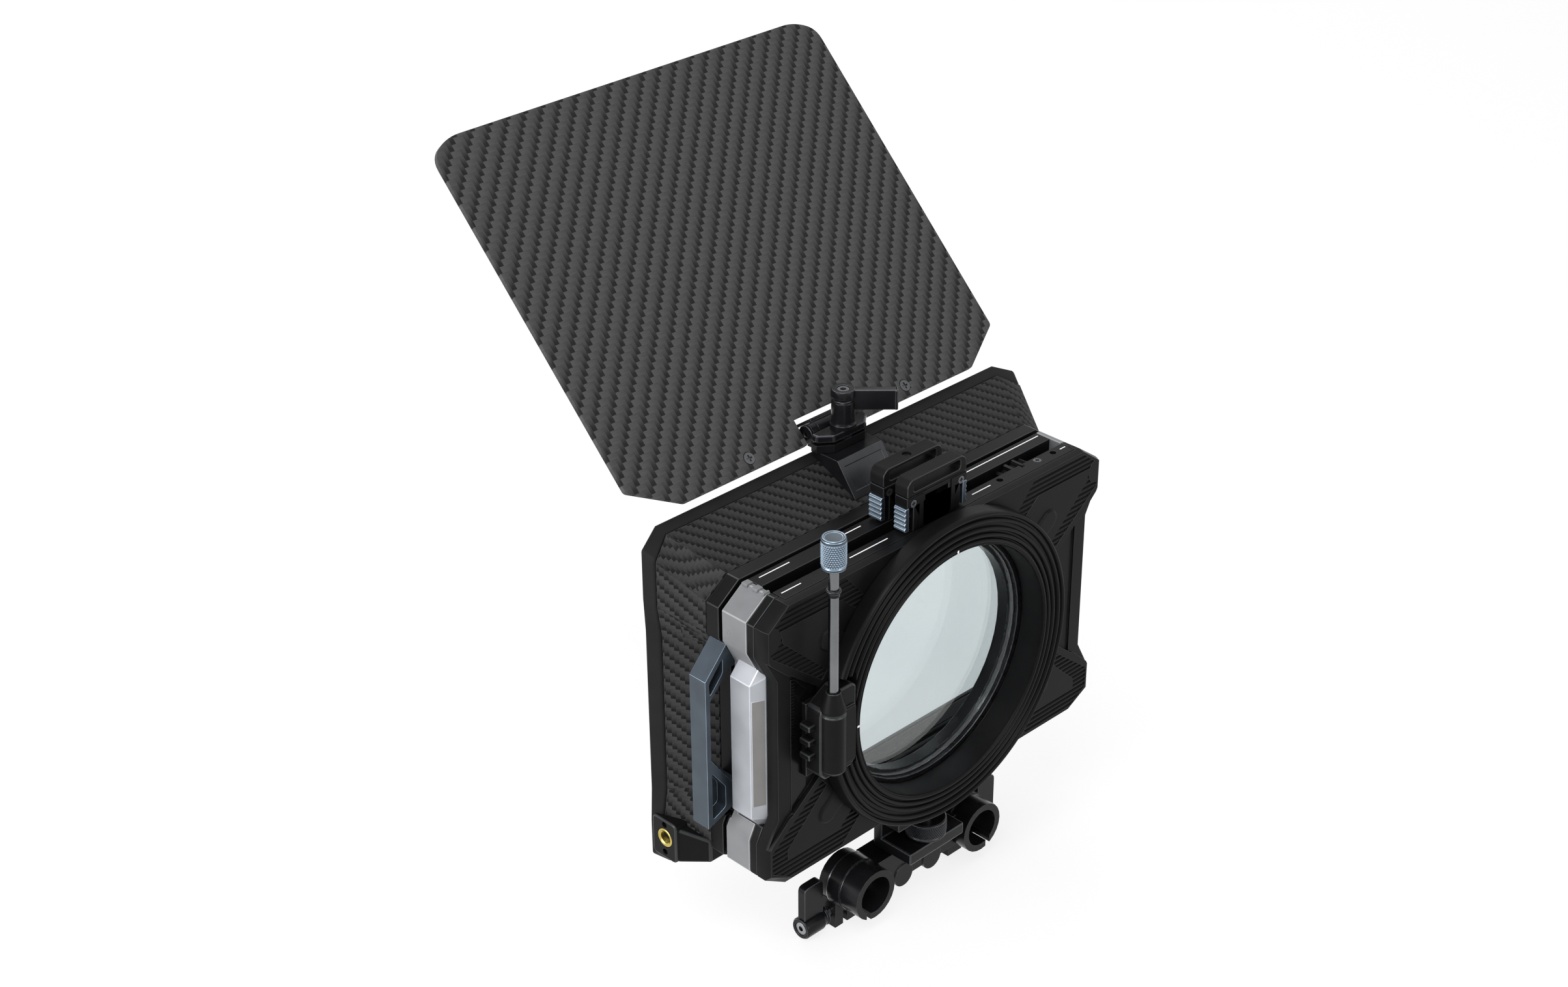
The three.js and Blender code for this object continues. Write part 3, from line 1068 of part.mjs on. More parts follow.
makeRearHousing();
makeFrames();
makeSideGrips();
makePortRing();
makeScaleStrip();
makeDriveHousing();
makeDrive();
makePolariser();
makeRearTrayFrame();
makeFrontTrayFrame();
makeGrip("rear", tray.rearY, tray.rearThickness);
makeGrip("front", tray.frontY, tray.frontThickness);
makeHood();
makeBosses();
makeFlagClamp();
makeFlagLever();
makeFlag();
makeRodClamps();
makeBracket();

export default group;
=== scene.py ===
import json
import math

import bmesh
import bpy
from mathutils import Matrix, Vector


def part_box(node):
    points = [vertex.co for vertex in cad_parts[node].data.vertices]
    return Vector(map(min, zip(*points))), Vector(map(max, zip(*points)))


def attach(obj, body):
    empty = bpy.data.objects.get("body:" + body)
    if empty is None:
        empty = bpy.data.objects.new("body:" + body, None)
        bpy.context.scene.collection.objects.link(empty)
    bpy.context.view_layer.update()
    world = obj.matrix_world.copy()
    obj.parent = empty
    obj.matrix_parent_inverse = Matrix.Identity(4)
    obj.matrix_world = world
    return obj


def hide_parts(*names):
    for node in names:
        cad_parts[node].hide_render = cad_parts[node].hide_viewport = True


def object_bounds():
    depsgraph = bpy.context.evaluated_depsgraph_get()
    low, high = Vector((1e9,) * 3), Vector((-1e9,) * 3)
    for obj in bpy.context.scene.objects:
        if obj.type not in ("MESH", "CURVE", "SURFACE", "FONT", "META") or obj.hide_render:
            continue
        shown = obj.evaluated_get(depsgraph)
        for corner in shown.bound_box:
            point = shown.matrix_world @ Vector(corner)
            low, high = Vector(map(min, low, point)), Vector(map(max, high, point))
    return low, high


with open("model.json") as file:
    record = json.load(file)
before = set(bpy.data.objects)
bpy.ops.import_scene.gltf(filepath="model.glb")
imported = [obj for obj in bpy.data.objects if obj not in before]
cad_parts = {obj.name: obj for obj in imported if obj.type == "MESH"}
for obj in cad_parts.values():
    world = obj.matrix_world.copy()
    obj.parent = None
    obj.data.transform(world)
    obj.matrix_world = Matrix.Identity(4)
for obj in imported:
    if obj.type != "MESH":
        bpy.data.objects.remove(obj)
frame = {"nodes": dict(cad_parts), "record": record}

cad_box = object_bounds()

MM = 0.001
# Sizes that are read from the frame are rounded to a thousandth of a millimetre
FRAME_DIGITS = 3
NODES = frame["nodes"]
BODY_OF = {node: body for body, nodes in frame["record"]["behaviour"]["bodies"].items() for node in nodes}
SLOT_OF = {part["node"]: part["material_slot"] for part in frame["record"]["subparts"]}


def span(node, axis):
    """Where a CAD node begins and ends along one axis, in millimetres."""
    return tuple(round(corner["XYZ".index(axis)] / MM, FRAME_DIGITS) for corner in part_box(node))


def middle(node, axes):
    """The middle of a CAD node's box along the named axes, in millimetres."""
    return tuple(round(sum(span(node, axis)) / 2, FRAME_DIGITS) for axis in axes)


# Camera, at the photograph's viewing angle: places and reach in metres, lens and sensor in millimetres
CAMERA_PLACE = (-0.60165, -0.536, 0.5219)
CAMERA_RIGHT = (0.7136, -0.7005, -0.0063)
CAMERA_UP = (0.3461, 0.3448, 0.8725)
CAMERA_AHEAD = (0.6090, 0.6249, -0.4885)
CAMERA_LENS = 59.9
CAMERA_SENSOR = 36
CAMERA_REACH = 100


def make_camera():
    camera = bpy.data.objects.new("camera", bpy.data.cameras.new("camera"))
    bpy.context.scene.collection.objects.link(camera)
    camera.data.lens = CAMERA_LENS
    camera.data.sensor_width = CAMERA_SENSOR
    columns = [Vector(CAMERA_RIGHT), Vector(CAMERA_UP), -Vector(CAMERA_AHEAD)]
    turn = Matrix([column.normalized() for column in columns]).transposed()
    camera.matrix_world = Matrix.Translation(CAMERA_PLACE) @ turn.to_4x4()
    camera.data.clip_end = CAMERA_REACH
    bpy.context.scene.camera = camera


# Node trees: inputs of a Mix node, by their place in it
LOW_NUMBER = 2
HIGH_NUMBER = 3
LOW_COLOUR = 6
HIGH_COLOUR = 7


def feed(tree, node, inputs):
    """Sets or links a node's inputs: a value, a node's first output, or a node and its output's name."""
    for key, value in inputs.items():
        if isinstance(value, bpy.types.Node):
            tree.links.new(next(output for output in value.outputs if output.enabled), node.inputs[key])
        elif isinstance(value, tuple) and isinstance(value[0], bpy.types.Node):
            tree.links.new(value[0].outputs[value[1]], node.inputs[key])
        else:
            node.inputs[key].default_value = value


def add_node(tree, kind, inputs=None, **settings):
    """Adds a node with its settings and its inputs."""
    node = tree.nodes.new(kind)
    for name, value in settings.items():
        setattr(node, name, value)
    feed(tree, node, inputs or {})
    return node


def linear(hex_colour):
    """Turns an sRGB hex colour into linear red, green, blue and alpha."""
    values = [int(hex_colour[i:i + 2], 16) / 255 for i in (1, 3, 5)]
    shown = [v / 12.92 if v <= 0.04045 else ((v + 0.055) / 1.055) ** 2.4 for v in values]
    return (*shown, 1)


def new_material(name):
    """Gives a material's tree with only a Principled shader, already on the output."""
    material = bpy.data.materials.new(name)
    material.use_nodes = True
    tree = material.node_tree
    tree.nodes.clear()
    shader = add_node(tree, "ShaderNodeBsdfPrincipled")
    add_node(tree, "ShaderNodeOutputMaterial", {"Surface": shader})
    return material, tree, shader


# Materials: the noise of a slow drift mostly stays between these two values
NOISE_SPAN = {"From Min": 0.3, "From Max": 0.7}
GRAIN_DETAIL = 2.0
DRIFT_MM = 9.0
DRIFT_DETAIL = 4.0
DRIFT_OF_ROUGHNESS = 0.04


def grained(name, low, high, metallic, rough, grain_mm, bump_mm, specular=0.5):
    """A moulded, blasted or turned surface: fine grain in the bump, slow drift in colour and roughness."""
    material, tree, shader = new_material(name)
    place = (add_node(tree, "ShaderNodeTexCoord"), "Object")
    fine = add_node(tree, "ShaderNodeTexNoise", {"Vector": place, "Scale": 1 / (grain_mm * MM),
                                                "Detail": GRAIN_DETAIL})
    slow = add_node(tree, "ShaderNodeTexNoise", {"Vector": place, "Scale": 1 / (DRIFT_MM * MM),
                                                "Detail": DRIFT_DETAIL})
    share = add_node(tree, "ShaderNodeMapRange", {"Value": slow, **NOISE_SPAN})
    colour = add_node(tree, "ShaderNodeMix", {"Factor": share, LOW_COLOUR: linear(low),
                                             HIGH_COLOUR: linear(high)}, data_type="RGBA")
    dullness = add_node(tree, "ShaderNodeMapRange", {"Value": slow, **NOISE_SPAN,
                                                    "To Min": rough - DRIFT_OF_ROUGHNESS,
                                                    "To Max": rough + DRIFT_OF_ROUGHNESS})
    bump = add_node(tree, "ShaderNodeBump", {"Height": fine, "Distance": bump_mm * MM})
    feed(tree, shader, {"Base Color": colour, "Roughness": dullness, "Normal": bump, "Metallic": metallic,
                        "Specular IOR Level": specular})
    return material


# Twill: lengths are in tows, tones are shares of the way from the dark colour to the light one
TWILL_REPEAT = 4.0
TWILL_FLOAT = 2.0
FADED_TONE = 0.66
DIVE_START = 0.25
DIVE_TONE = 0.62
STREAK_TONE = 0.14
FILAMENTS_PER_TOW = 9.0
STREAKS_PER_TOW = 0.5
TWILL_RELIEF_MM = 0.1
TWILL_RELIEF_STRENGTH = 0.4
TWILL_SPECULAR = 0.08


def carbon_twill(name, tow_x_mm, tow_y_mm, dark, light, rough):
    """Carbon fibre in two-by-two twill under dull resin. The tows across are bright, and fade as they run.
    The tows along are dark where they come up, and pale towards where they dive. Each shows its filaments,
    which are drawn coarser than real ones so that they show."""
    material, tree, shader = new_material(name)
    place = add_node(tree, "ShaderNodeUVMap", uv_map="weave")
    split = add_node(tree, "ShaderNodeSeparateXYZ", {"Vector": place})
    across = add_node(tree, "ShaderNodeMath", {0: (split, "X"), 1: tow_x_mm * MM}, operation="DIVIDE")
    along = add_node(tree, "ShaderNodeMath", {0: (split, "Y"), 1: tow_y_mm * MM}, operation="DIVIDE")
    column = add_node(tree, "ShaderNodeMath", {0: across}, operation="FLOOR")
    row = add_node(tree, "ShaderNodeMath", {0: along}, operation="FLOOR")
    run_across = add_node(tree, "ShaderNodeMath", {
        0: add_node(tree, "ShaderNodeMath", {
            0: add_node(tree, "ShaderNodeMath", {0: across, 1: row}, operation="SUBTRACT"), 1: 1.0},
            operation="SUBTRACT"), 1: TWILL_REPEAT}, operation="FLOORED_MODULO")
    run_along = add_node(tree, "ShaderNodeMath", {
        0: add_node(tree, "ShaderNodeMath", {0: along, 1: column}, operation="SUBTRACT"), 1: TWILL_REPEAT},
        operation="FLOORED_MODULO")
    on_top = add_node(tree, "ShaderNodeMath", {0: run_across, 1: TWILL_FLOAT}, operation="LESS_THAN")
    bright = add_node(tree, "ShaderNodeMapRange", {"Value": run_across, "From Max": TWILL_FLOAT,
                                                  "To Min": 1.0, "To Max": FADED_TONE})
    dim = add_node(tree, "ShaderNodeMapRange", {"Value": run_along, "From Min": DIVE_START,
                                               "From Max": TWILL_FLOAT, "To Min": 0.0, "To Max": DIVE_TONE},
                   interpolation_type="SMOOTHSTEP")
    threads = []
    for x_share, y_share in ((STREAKS_PER_TOW, FILAMENTS_PER_TOW), (FILAMENTS_PER_TOW, STREAKS_PER_TOW)):
        spot = add_node(tree, "ShaderNodeCombineXYZ", {
            "X": add_node(tree, "ShaderNodeMath", {0: across, 1: x_share}, operation="MULTIPLY"),
            "Y": add_node(tree, "ShaderNodeMath", {0: along, 1: y_share}, operation="MULTIPLY")})
        threads.append(add_node(tree, "ShaderNodeTexNoise", {"Vector": spot, "Scale": 1.0,
                                                            "Detail": GRAIN_DETAIL}))
    shade = add_node(tree, "ShaderNodeMix", {"Factor": on_top, LOW_NUMBER: dim, HIGH_NUMBER: bright},
                     data_type="FLOAT")
    thread = add_node(tree, "ShaderNodeMix", {"Factor": on_top, LOW_NUMBER: threads[1],
                                             HIGH_NUMBER: threads[0]}, data_type="FLOAT")
    streak = add_node(tree, "ShaderNodeMapRange", {"Value": thread, **NOISE_SPAN,
                                                  "To Min": -STREAK_TONE, "To Max": STREAK_TONE})
    tone = add_node(tree, "ShaderNodeMath", {0: shade, 1: streak}, operation="ADD", use_clamp=True)
    colour = add_node(tree, "ShaderNodeMix", {"Factor": tone, LOW_COLOUR: linear(dark),
                                             HIGH_COLOUR: linear(light)}, data_type="RGBA")
    bump = add_node(tree, "ShaderNodeBump", {"Height": tone, "Distance": TWILL_RELIEF_MM * MM,
                                            "Strength": TWILL_RELIEF_STRENGTH})
    feed(tree, shader, {"Base Color": colour, "Normal": bump, "Roughness": rough,
                        "Specular IOR Level": TWILL_SPECULAR})
    return material


GLASS_TINTS = ("#dfe6e8", "#e9eeee")
GLASS_DRIFT_MM = 40.0
GLASS_IOR = 1.5


def coated_glass(name):
    """Optical glass with a faint coating: clear, with a slow cool drift in its tint."""
    material, tree, shader = new_material(name)
    place = (add_node(tree, "ShaderNodeTexCoord"), "Object")
    slow = add_node(tree, "ShaderNodeTexNoise", {"Vector": place, "Scale": 1 / (GLASS_DRIFT_MM * MM),
                                                "Detail": 1.0})
    low, high = GLASS_TINTS
    tint = add_node(tree, "ShaderNodeMix", {"Factor": slow, LOW_COLOUR: linear(low),
                                           HIGH_COLOUR: linear(high)}, data_type="RGBA")
    feed(tree, shader, {"Base Color": tint, "Roughness": 0.0, "Transmission Weight": 1.0, "IOR": GLASS_IOR})
    return material


# The grain of etching, blasting and turning is finer than a tenth of a millimetre on a real one. It is drawn
# at 0.25 mm or more here, so that it shows.
# Glass-filled nylon, moulded against an etched tool: a deep black with a fine even grain
MOULDED_NYLON = grained("moulded_black_nylon", "#0c0c0d", "#101011",
                        metallic=0.0, rough=0.38, grain_mm=0.35, bump_mm=0.01, specular=0.08)
# The same nylon on a polished stretch of the tool: darker, with a tighter shine
SMOOTH_NYLON = grained("smooth_black_nylon", "#070708", "#0a0a0b",
                       metallic=0.0, rough=0.22, grain_mm=0.5, bump_mm=0.003, specular=0.12)
# Painted highlight on the nylon's bevelled edges: a paler grey where the light would catch them
NYLON_PAINTED_HIGHLIGHT = grained("black_nylon_painted_highlight", "#1e1f20", "#262728",
                       metallic=0.0, rough=0.3, grain_mm=0.35, bump_mm=0.004, specular=0.3)
# The hood's moulded rim: a dry dark grey, for the light it spreads
DRY_NYLON = grained("dry_black_nylon", "#161617", "#1a1a1b",
                    metallic=0.0, rough=0.5, grain_mm=0.35, bump_mm=0.01, specular=0.1)
# Painted grey polymer: even and satin
GREY_POLYMER = grained("satin_grey_polymer", "#626365", "#6a6b6d",
                       metallic=0.0, rough=0.42, grain_mm=0.3, bump_mm=0.004, specular=0.4)
# Painted highlight on its rounded edges: a paler grey where the light would catch them
GREY_PAINTED_HIGHLIGHT = grained("grey_polymer_painted_highlight", "#808183", "#8a8b8d",
                       metallic=0.0, rough=0.36, grain_mm=0.3, bump_mm=0.004, specular=0.5)
# Aluminium, bead-blasted and clear anodised: pale and soft
CLEAR_ANODISED = grained("clear_anodised_aluminium", "#9da0a5", "#a5a8ad",
                         metallic=0.7, rough=0.42, grain_mm=0.25, bump_mm=0.004)
# Painted highlight on its bevelled edges: a brighter aluminium where the light would catch them
ALUMINIUM_PAINTED_HIGHLIGHT = grained("aluminium_painted_highlight", "#b0b4ba", "#bbbfc5",
                        metallic=0.7, rough=0.34, grain_mm=0.25, bump_mm=0.003)
# The milled face of the same bar: duller and a little warmer, and darker with painted shade where it faces
# away from the light
MILLED_FACE_PAINTED_SHADE = grained("milled_aluminium_painted_shade", "#6b6a69", "#737271",
                           metallic=0.3, rough=0.5, grain_mm=0.25, bump_mm=0.006)
# Aluminium, bead-blasted and dyed a dark steel blue
BLUE_ANODISED = grained("blue_anodised_aluminium", "#3b434b", "#434c55",
                        metallic=0.7, rough=0.4, grain_mm=0.25, bump_mm=0.004)
# Painted highlight on its bevelled edges and on knurl tips: a pale blue where the light would catch them
BLUE_PAINTED_HIGHLIGHT = grained("blue_anodised_painted_highlight", "#8b9cac", "#9bacbc",
                            metallic=0.75, rough=0.3, grain_mm=0.25, bump_mm=0.004)
# Aluminium, hard anodised black: dark, with a metal's shine
BLACK_ANODISED = grained("black_anodised_aluminium", "#131315", "#18181a",
                         metallic=0.3, rough=0.24, grain_mm=0.3, bump_mm=0.003, specular=0.16)
# Painted highlight on its bevelled edges and on knurl tips: a paler grey where the light would catch them
BLACK_PAINTED_HIGHLIGHT = grained("black_anodised_painted_highlight", "#343538", "#3e3f42",
                        metallic=0.6, rough=0.28, grain_mm=0.3, bump_mm=0.003)
# Turned steel: a soft bright shine
TURNED_STEEL = grained("turned_steel", "#8f9193", "#a2a4a6",
                       metallic=1.0, rough=0.26, grain_mm=0.4, bump_mm=0.004)
# Ground steel: smoother and darker, for what it mirrors
GROUND_STEEL = grained("ground_steel", "#6e7072", "#7a7c7e",
                       metallic=1.0, rough=0.2, grain_mm=0.6, bump_mm=0.002)
# Steel blackened in an oil bath: a dark satin grey
BLACKENED_STEEL = grained("blackened_steel", "#4e4f51", "#5a5b5d",
                          metallic=0.7, rough=0.34, grain_mm=0.4, bump_mm=0.004)
# Turned brass: a pale yellow shine
TURNED_BRASS = grained("turned_brass", "#b3a050", "#cbb968",
                       metallic=1.0, rough=0.24, grain_mm=0.4, bump_mm=0.004)
# Moulded rubber: black and dull, slightly dusty
MOULDED_RUBBER = grained("moulded_rubber", "#0b0b0c", "#101011",
                         metallic=0.0, rough=0.6, grain_mm=0.4, bump_mm=0.01, specular=0.1)
# White pad-printed paint: even and matt
WHITE_PAINT = grained("white_marking_paint", "#d9d9d9", "#e6e6e6",
                      metallic=0.0, rough=0.6, grain_mm=0.3, bump_mm=0.003)
# Optical glass with a thin coating: clear and hard, with the faintest cool cast
FILTER_GLASS = coated_glass("coated_filter_glass")
# Carbon twill laid flat: broad grey tows that read as slanting lines
FLAG_TWILL = carbon_twill("carbon_twill_plate", tow_x_mm=2.03, tow_y_mm=2.37, dark="#1b1b1b",
                          light="#464646", rough=0.5)
# A finer and darker twill, moulded to the hood's flare
HOOD_TWILL = carbon_twill("carbon_twill_hood", tow_x_mm=1.42, tow_y_mm=1.52, dark="#0c0c0d",
                          light="#323233", rough=0.45)

FINISHES = {
    "black_polymer": MOULDED_NYLON,
    "carbon_laminate": HOOD_TWILL,
    "grey_polymer": GREY_POLYMER,
    "silver_alloy": CLEAR_ANODISED,
    "blue_alloy": BLUE_ANODISED,
    "black_alloy": BLACK_ANODISED,
    "steel": TURNED_STEEL,
    "brass": TURNED_BRASS,
    "black_rubber": MOULDED_RUBBER,
    "filter_glass": FILTER_GLASS,
}
# Painted edge highlight of each material: the paler finish that its bevelled edges take
PAINTED_EDGE_HIGHLIGHTS = {
    MOULDED_NYLON: NYLON_PAINTED_HIGHLIGHT,
    SMOOTH_NYLON: NYLON_PAINTED_HIGHLIGHT,
    GREY_POLYMER: GREY_PAINTED_HIGHLIGHT,
    CLEAR_ANODISED: ALUMINIUM_PAINTED_HIGHLIGHT,
    MILLED_FACE_PAINTED_SHADE: ALUMINIUM_PAINTED_HIGHLIGHT,
    BLUE_ANODISED: BLUE_PAINTED_HIGHLIGHT,
    BLACK_ANODISED: BLACK_PAINTED_HIGHLIGHT,
    MOULDED_RUBBER: NYLON_PAINTED_HIGHLIGHT,
}

# Meshes: every outline and height below is in millimetres, and each axes word names where they go
AXIS_ORDER = {"XZY": (0, 2, 1), "YZX": (1, 2, 0), "XYZ": (0, 1, 2)}
# How far a cutter stands past the face that it cuts
OVERRUN = 1.0
# Points nearer than this are one, in made meshes and in copies of the CAD
MERGE_MM = 0.0005
CAD_MERGE_MM = 0.002
# A rounded corner takes at most this share of each line beside it
CORNER_SHARE = 0.48
NORMAL_WEIGHT = 50
# Rounded edges of each piece: the width in millimetres, and the steps round it
EDGES = {
    "rear_housing": (0.22, 2),
    "petal_boss": (0.5, 3),
    "scale_window": (0.15, 2),
    "side_bar": (0.3, 3),
    "side_bar_plate": (0.12, 2),
    "side_handle": (0.5, 3),
    "front_plate": (0.3, 2),
    "stage_frame": (0.5, 3),
    "stage_lobe": (0.35, 3),
    "tray_frame": (0.2, 2),
    "tray_strap": (0.3, 2),
    "grip_cheek": (0.15, 2),
    "tray_grip": (0.3, 2),
    "latch": (0.22, 2),
    "drive_block": (0.8, 3),
    "drive_nose": (0.25, 2),
    "drive_plate": (0.2, 2),
    "drive_panel": (0.15, 2),
    "drive_rib": (0.5, 3),
    "drive_foot": (0.3, 2),
    "knob_shaft": (0.1, 2),
    "knob_collar": (0.12, 2),
    "drive_knob": (0.12, 2),
    "boss_pad": (0.7, 3),
    "boss_gusset": (0.8, 3),
    "flag_foot": (0.35, 2),
    "flag_clamp_base": (0.7, 4),
    "flag_clamp_plate": (0.9, 4),
    "flag_hinge_pin": (0.2, 2),
    "flag_lever_hub": (0.15, 2),
    "flag_lever_paddle": (0.5, 3),
    "rod_clamp": (0.4, 3),
    "rod_lever_hub": (0.12, 2),
    "rod_lever_paddle": (0.9, 4),
    "thumb_nut": (0.12, 2),
    "bracket": (0.6, 3),
    "hood_shell": (0.3, 2),
    "hood_lip": (0.9, 3),
    "hood_band": (0.7, 2),
    "top_flag": (0.2, 2),
    "flag_leaf": (0.3, 2),
    "other": (0.3, 2),
}


def placed(a, b, c, axes):
    """A point in metres, from its three values and the axes that they go along."""
    point = [0.0, 0.0, 0.0]
    for value, axis in zip((a, b, c), AXIS_ORDER[axes]):
        point[axis] = value * MM
    return point


def made(bm):
    """A mesh from a bmesh, its doubles merged and its faces pointing outwards."""
    bmesh.ops.remove_doubles(bm, verts=bm.verts, dist=MERGE_MM * MM)
    bmesh.ops.dissolve_degenerate(bm, edges=bm.edges, dist=MERGE_MM * MM)
    bmesh.ops.recalc_face_normals(bm, faces=bm.faces)
    mesh = bpy.data.meshes.new("made")
    bm.to_mesh(mesh)
    bm.free()
    return mesh


def lofted(rings, axes):
    """Closed solid through outlines of the same count, each at its own height, with capped ends."""
    bm = bmesh.new()
    levels = [[bm.verts.new(placed(a, b, height, axes)) for a, b in outline] for outline, height in rings]
    for low, high in zip(levels, levels[1:]):
        for i in range(len(low)):
            j = (i + 1) % len(low)
            bm.faces.new((low[i], low[j], high[j], high[i]))
    bm.faces.new(levels[0][::-1])
    bm.faces.new(levels[-1])
    return made(bm)


def prism(outline, axes, low, high):
    """An outline carried straight from one height to another."""
    return lofted([(outline, low), (outline, high)], axes)


def turned(profile, axes, centre=(0.0, 0.0), steps=96):
    """Solid of revolution from a closed profile of radius and height."""
    bm = bmesh.new()
    rings = []
    for step in range(steps):
        angle = 2 * math.pi * step / steps
        rings.append([bm.verts.new(placed(centre[0] + radius * math.cos(angle),
                                          centre[1] + radius * math.sin(angle), height, axes))
                      for radius, height in profile])
    for ring, after in zip(rings, rings[1:] + rings[:1]):
        for k in range(len(profile)):
            n = (k + 1) % len(profile)
            bm.faces.new((ring[k], ring[n], after[n], after[k]))
    return made(bm)


def rod(radius, axes, centre, low, high, steps=48):
    """Solid round bar."""
    return turned([(0, low), (radius, low), (radius, high), (0, high)], axes, centre, steps)


def block(x, y, z):
    """A box from its spans along X, Y and Z."""
    outline = [(x[0], y[0]), (x[1], y[0]), (x[1], y[1]), (x[0], y[1])]
    return prism(outline, "XYZ", z[0], z[1])


def mirrored_outline(right):
    """A whole outline from its right half."""
    return [*right, *[(-a, b) for a, b in reversed(right)]]


def flipped(outline, across=1, up=1):
    """An outline on the side that the signs name."""
    return [(across * a, up * b) for a, b in outline]


def softened(outline, radius, steps=5):
    """An outline with its corners rounded by one radius, or by one for each corner."""
    points = []
    count = len(outline)
    radii = radius if isinstance(radius, list) else [radius] * count
    for i, corner in enumerate(outline):
        here = Vector(corner)
        before = Vector(outline[i - 1]) - here
        after = Vector(outline[(i + 1) % count]) - here
        reach = min(radii[i], before.length * CORNER_SHARE, after.length * CORNER_SHARE)
        start = here + before.normalized() * reach
        end = here + after.normalized() * reach
        for step in range(steps + 1):
            t = step / steps
            points.append(tuple((1 - t) ** 2 * start + 2 * t * (1 - t) * here + t * t * end))
    return points


def both_sides(mesh):
    """A mesh and its mirror image, as one."""
    return joined(mesh, mirrored(mesh))


def joined(*meshes):
    """One mesh that holds several."""
    bm = bmesh.new()
    for mesh in meshes:
        bm.from_mesh(mesh)
    result = bpy.data.meshes.new("joined")
    bm.to_mesh(result)
    bm.free()
    return result


def mirrored(mesh, axis=0):
    """A mesh on the other side of the middle plane."""
    bm = bmesh.new()
    bm.from_mesh(mesh)
    for vert in bm.verts:
        vert.co[axis] = -vert.co[axis]
    bmesh.ops.reverse_faces(bm, faces=bm.faces)
    result = bpy.data.meshes.new("mirrored")
    bm.to_mesh(result)
    bm.free()
    return result


def worked(mesh, kind, **settings):
    """The mesh after one modifier."""
    obj = bpy.data.objects.new("worked", mesh)
    bpy.context.scene.collection.objects.link(obj)
    modifier = obj.modifiers.new("work", kind)
    for name, value in settings.items():
        setattr(modifier, name, value)
    bpy.context.view_layer.update()
    graph = bpy.context.evaluated_depsgraph_get()
    result = bpy.data.meshes.new_from_object(obj.evaluated_get(graph))
    bpy.data.objects.remove(obj)
    return result


def carved(mesh, *cutters):
    """A mesh with others cut out of it."""
    cutter = bpy.data.objects.new("cutter", joined(*cutters))
    bpy.context.scene.collection.objects.link(cutter)
    result = worked(mesh, "BOOLEAN", object=cutter, operation="DIFFERENCE", solver="EXACT",
                    use_self=len(cutters) > 1)
    bpy.data.objects.remove(cutter)
    return result


def rounded(mesh, piece, angle_degrees=28, paint_edge_highlight=True):
    """Rounds every sharp edge as its piece has it, and marks the new faces for the edges' own finish, the
    painted edge highlight.
    """
    width_mm, segments = EDGES[piece]
    while len(mesh.materials) < 2:
        mesh.materials.append(None)
    return worked(mesh, "BEVEL", width=width_mm * MM, segments=segments, limit_method="ANGLE",
                  angle_limit=math.radians(angle_degrees), use_clamp_overlap=True,
                  material=1 if paint_edge_highlight else -1)


def smoothed(mesh, degrees=50):
    """Smooth shading, with flat faces kept flat and sharp edges kept sharp."""
    for polygon in mesh.polygons:
        polygon.use_smooth = True
    mesh.set_sharp_from_angle(angle=math.radians(degrees))
    return worked(mesh, "WEIGHTED_NORMAL", mode="FACE_AREA", weight=NORMAL_WEIGHT, keep_sharp=True)


def cad_copy(node, angle_degrees=0.5):
    """A copy of a CAD node's mesh, with its doubles merged and its flat faces joined."""
    bm = bmesh.new()
    bm.from_mesh(NODES[node].data)
    bmesh.ops.remove_doubles(bm, verts=bm.verts, dist=CAD_MERGE_MM * MM)
    bmesh.ops.dissolve_limit(bm, angle_limit=math.radians(angle_degrees), verts=bm.verts, edges=bm.edges)
    mesh = bpy.data.meshes.new(node)
    bm.to_mesh(mesh)
    bm.free()
    return mesh


def new_piece(name, mesh, material, body, slot, *replaced):
    """Links a finished mesh as a piece that rides on a body."""
    if not any(mesh.materials):
        while len(mesh.materials) < 2:
            mesh.materials.append(None)
        mesh.materials[0] = material
        # The second slot holds the painted edge highlight, for the bevels' faces
        mesh.materials[1] = PAINTED_EDGE_HIGHLIGHTS.get(material, material)
    obj = bpy.data.objects.new(name, mesh)
    bpy.context.scene.collection.objects.link(obj)
    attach(obj, body)
    if replaced:
        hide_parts(*replaced)
    return obj


def dress(node, mesh, material=None):
    """Stands a finished mesh in a CAD node's place, in that node's finish unless another is given."""
    slot = SLOT_OF[node]
    return new_piece(f"{node}_skin", smoothed(mesh), material or FINISHES[slot], BODY_OF[node], slot, node)


def add_trim(name, mesh, material, beside):
    """Adds a small piece that rides with a CAD node."""
    return new_piece(name, smoothed(mesh), material, BODY_OF[beside], SLOT_OF[beside])


# Geometry Nodes: sides of a round rib and of a screw head, and a cross slot's sizes as shares of its head
RIB_SIDES = 12
HEAD_SIDES = 32
SLOT_LENGTH_SHARE = 1.15
SLOT_WIDTH_SHARE = 0.32
SLOT_HEIGHT_SHARE = 1.7


def new_tree(name, inputs):
    """A Geometry Nodes tree with named inputs of the given kinds, and its two end nodes."""
    tree = bpy.data.node_groups.new(name, "GeometryNodeTree")
    tree.interface.new_socket("Geometry", in_out="INPUT", socket_type="NodeSocketGeometry")
    for label, kind in inputs.items():
        tree.interface.new_socket(label, in_out="INPUT", socket_type=kind)
    tree.interface.new_socket("Geometry", in_out="OUTPUT", socket_type="NodeSocketGeometry")
    return tree, add_node(tree, "NodeGroupInput")


def end_tree(tree, given, geometry):
    """Ends a tree in Realize Instances and Set Material."""
    real = add_node(tree, "GeometryNodeRealizeInstances", {"Geometry": geometry})
    painted = add_node(tree, "GeometryNodeSetMaterial", {"Geometry": real, "Material": (given, "Material")})
    add_node(tree, "NodeGroupOutput", {"Geometry": painted})


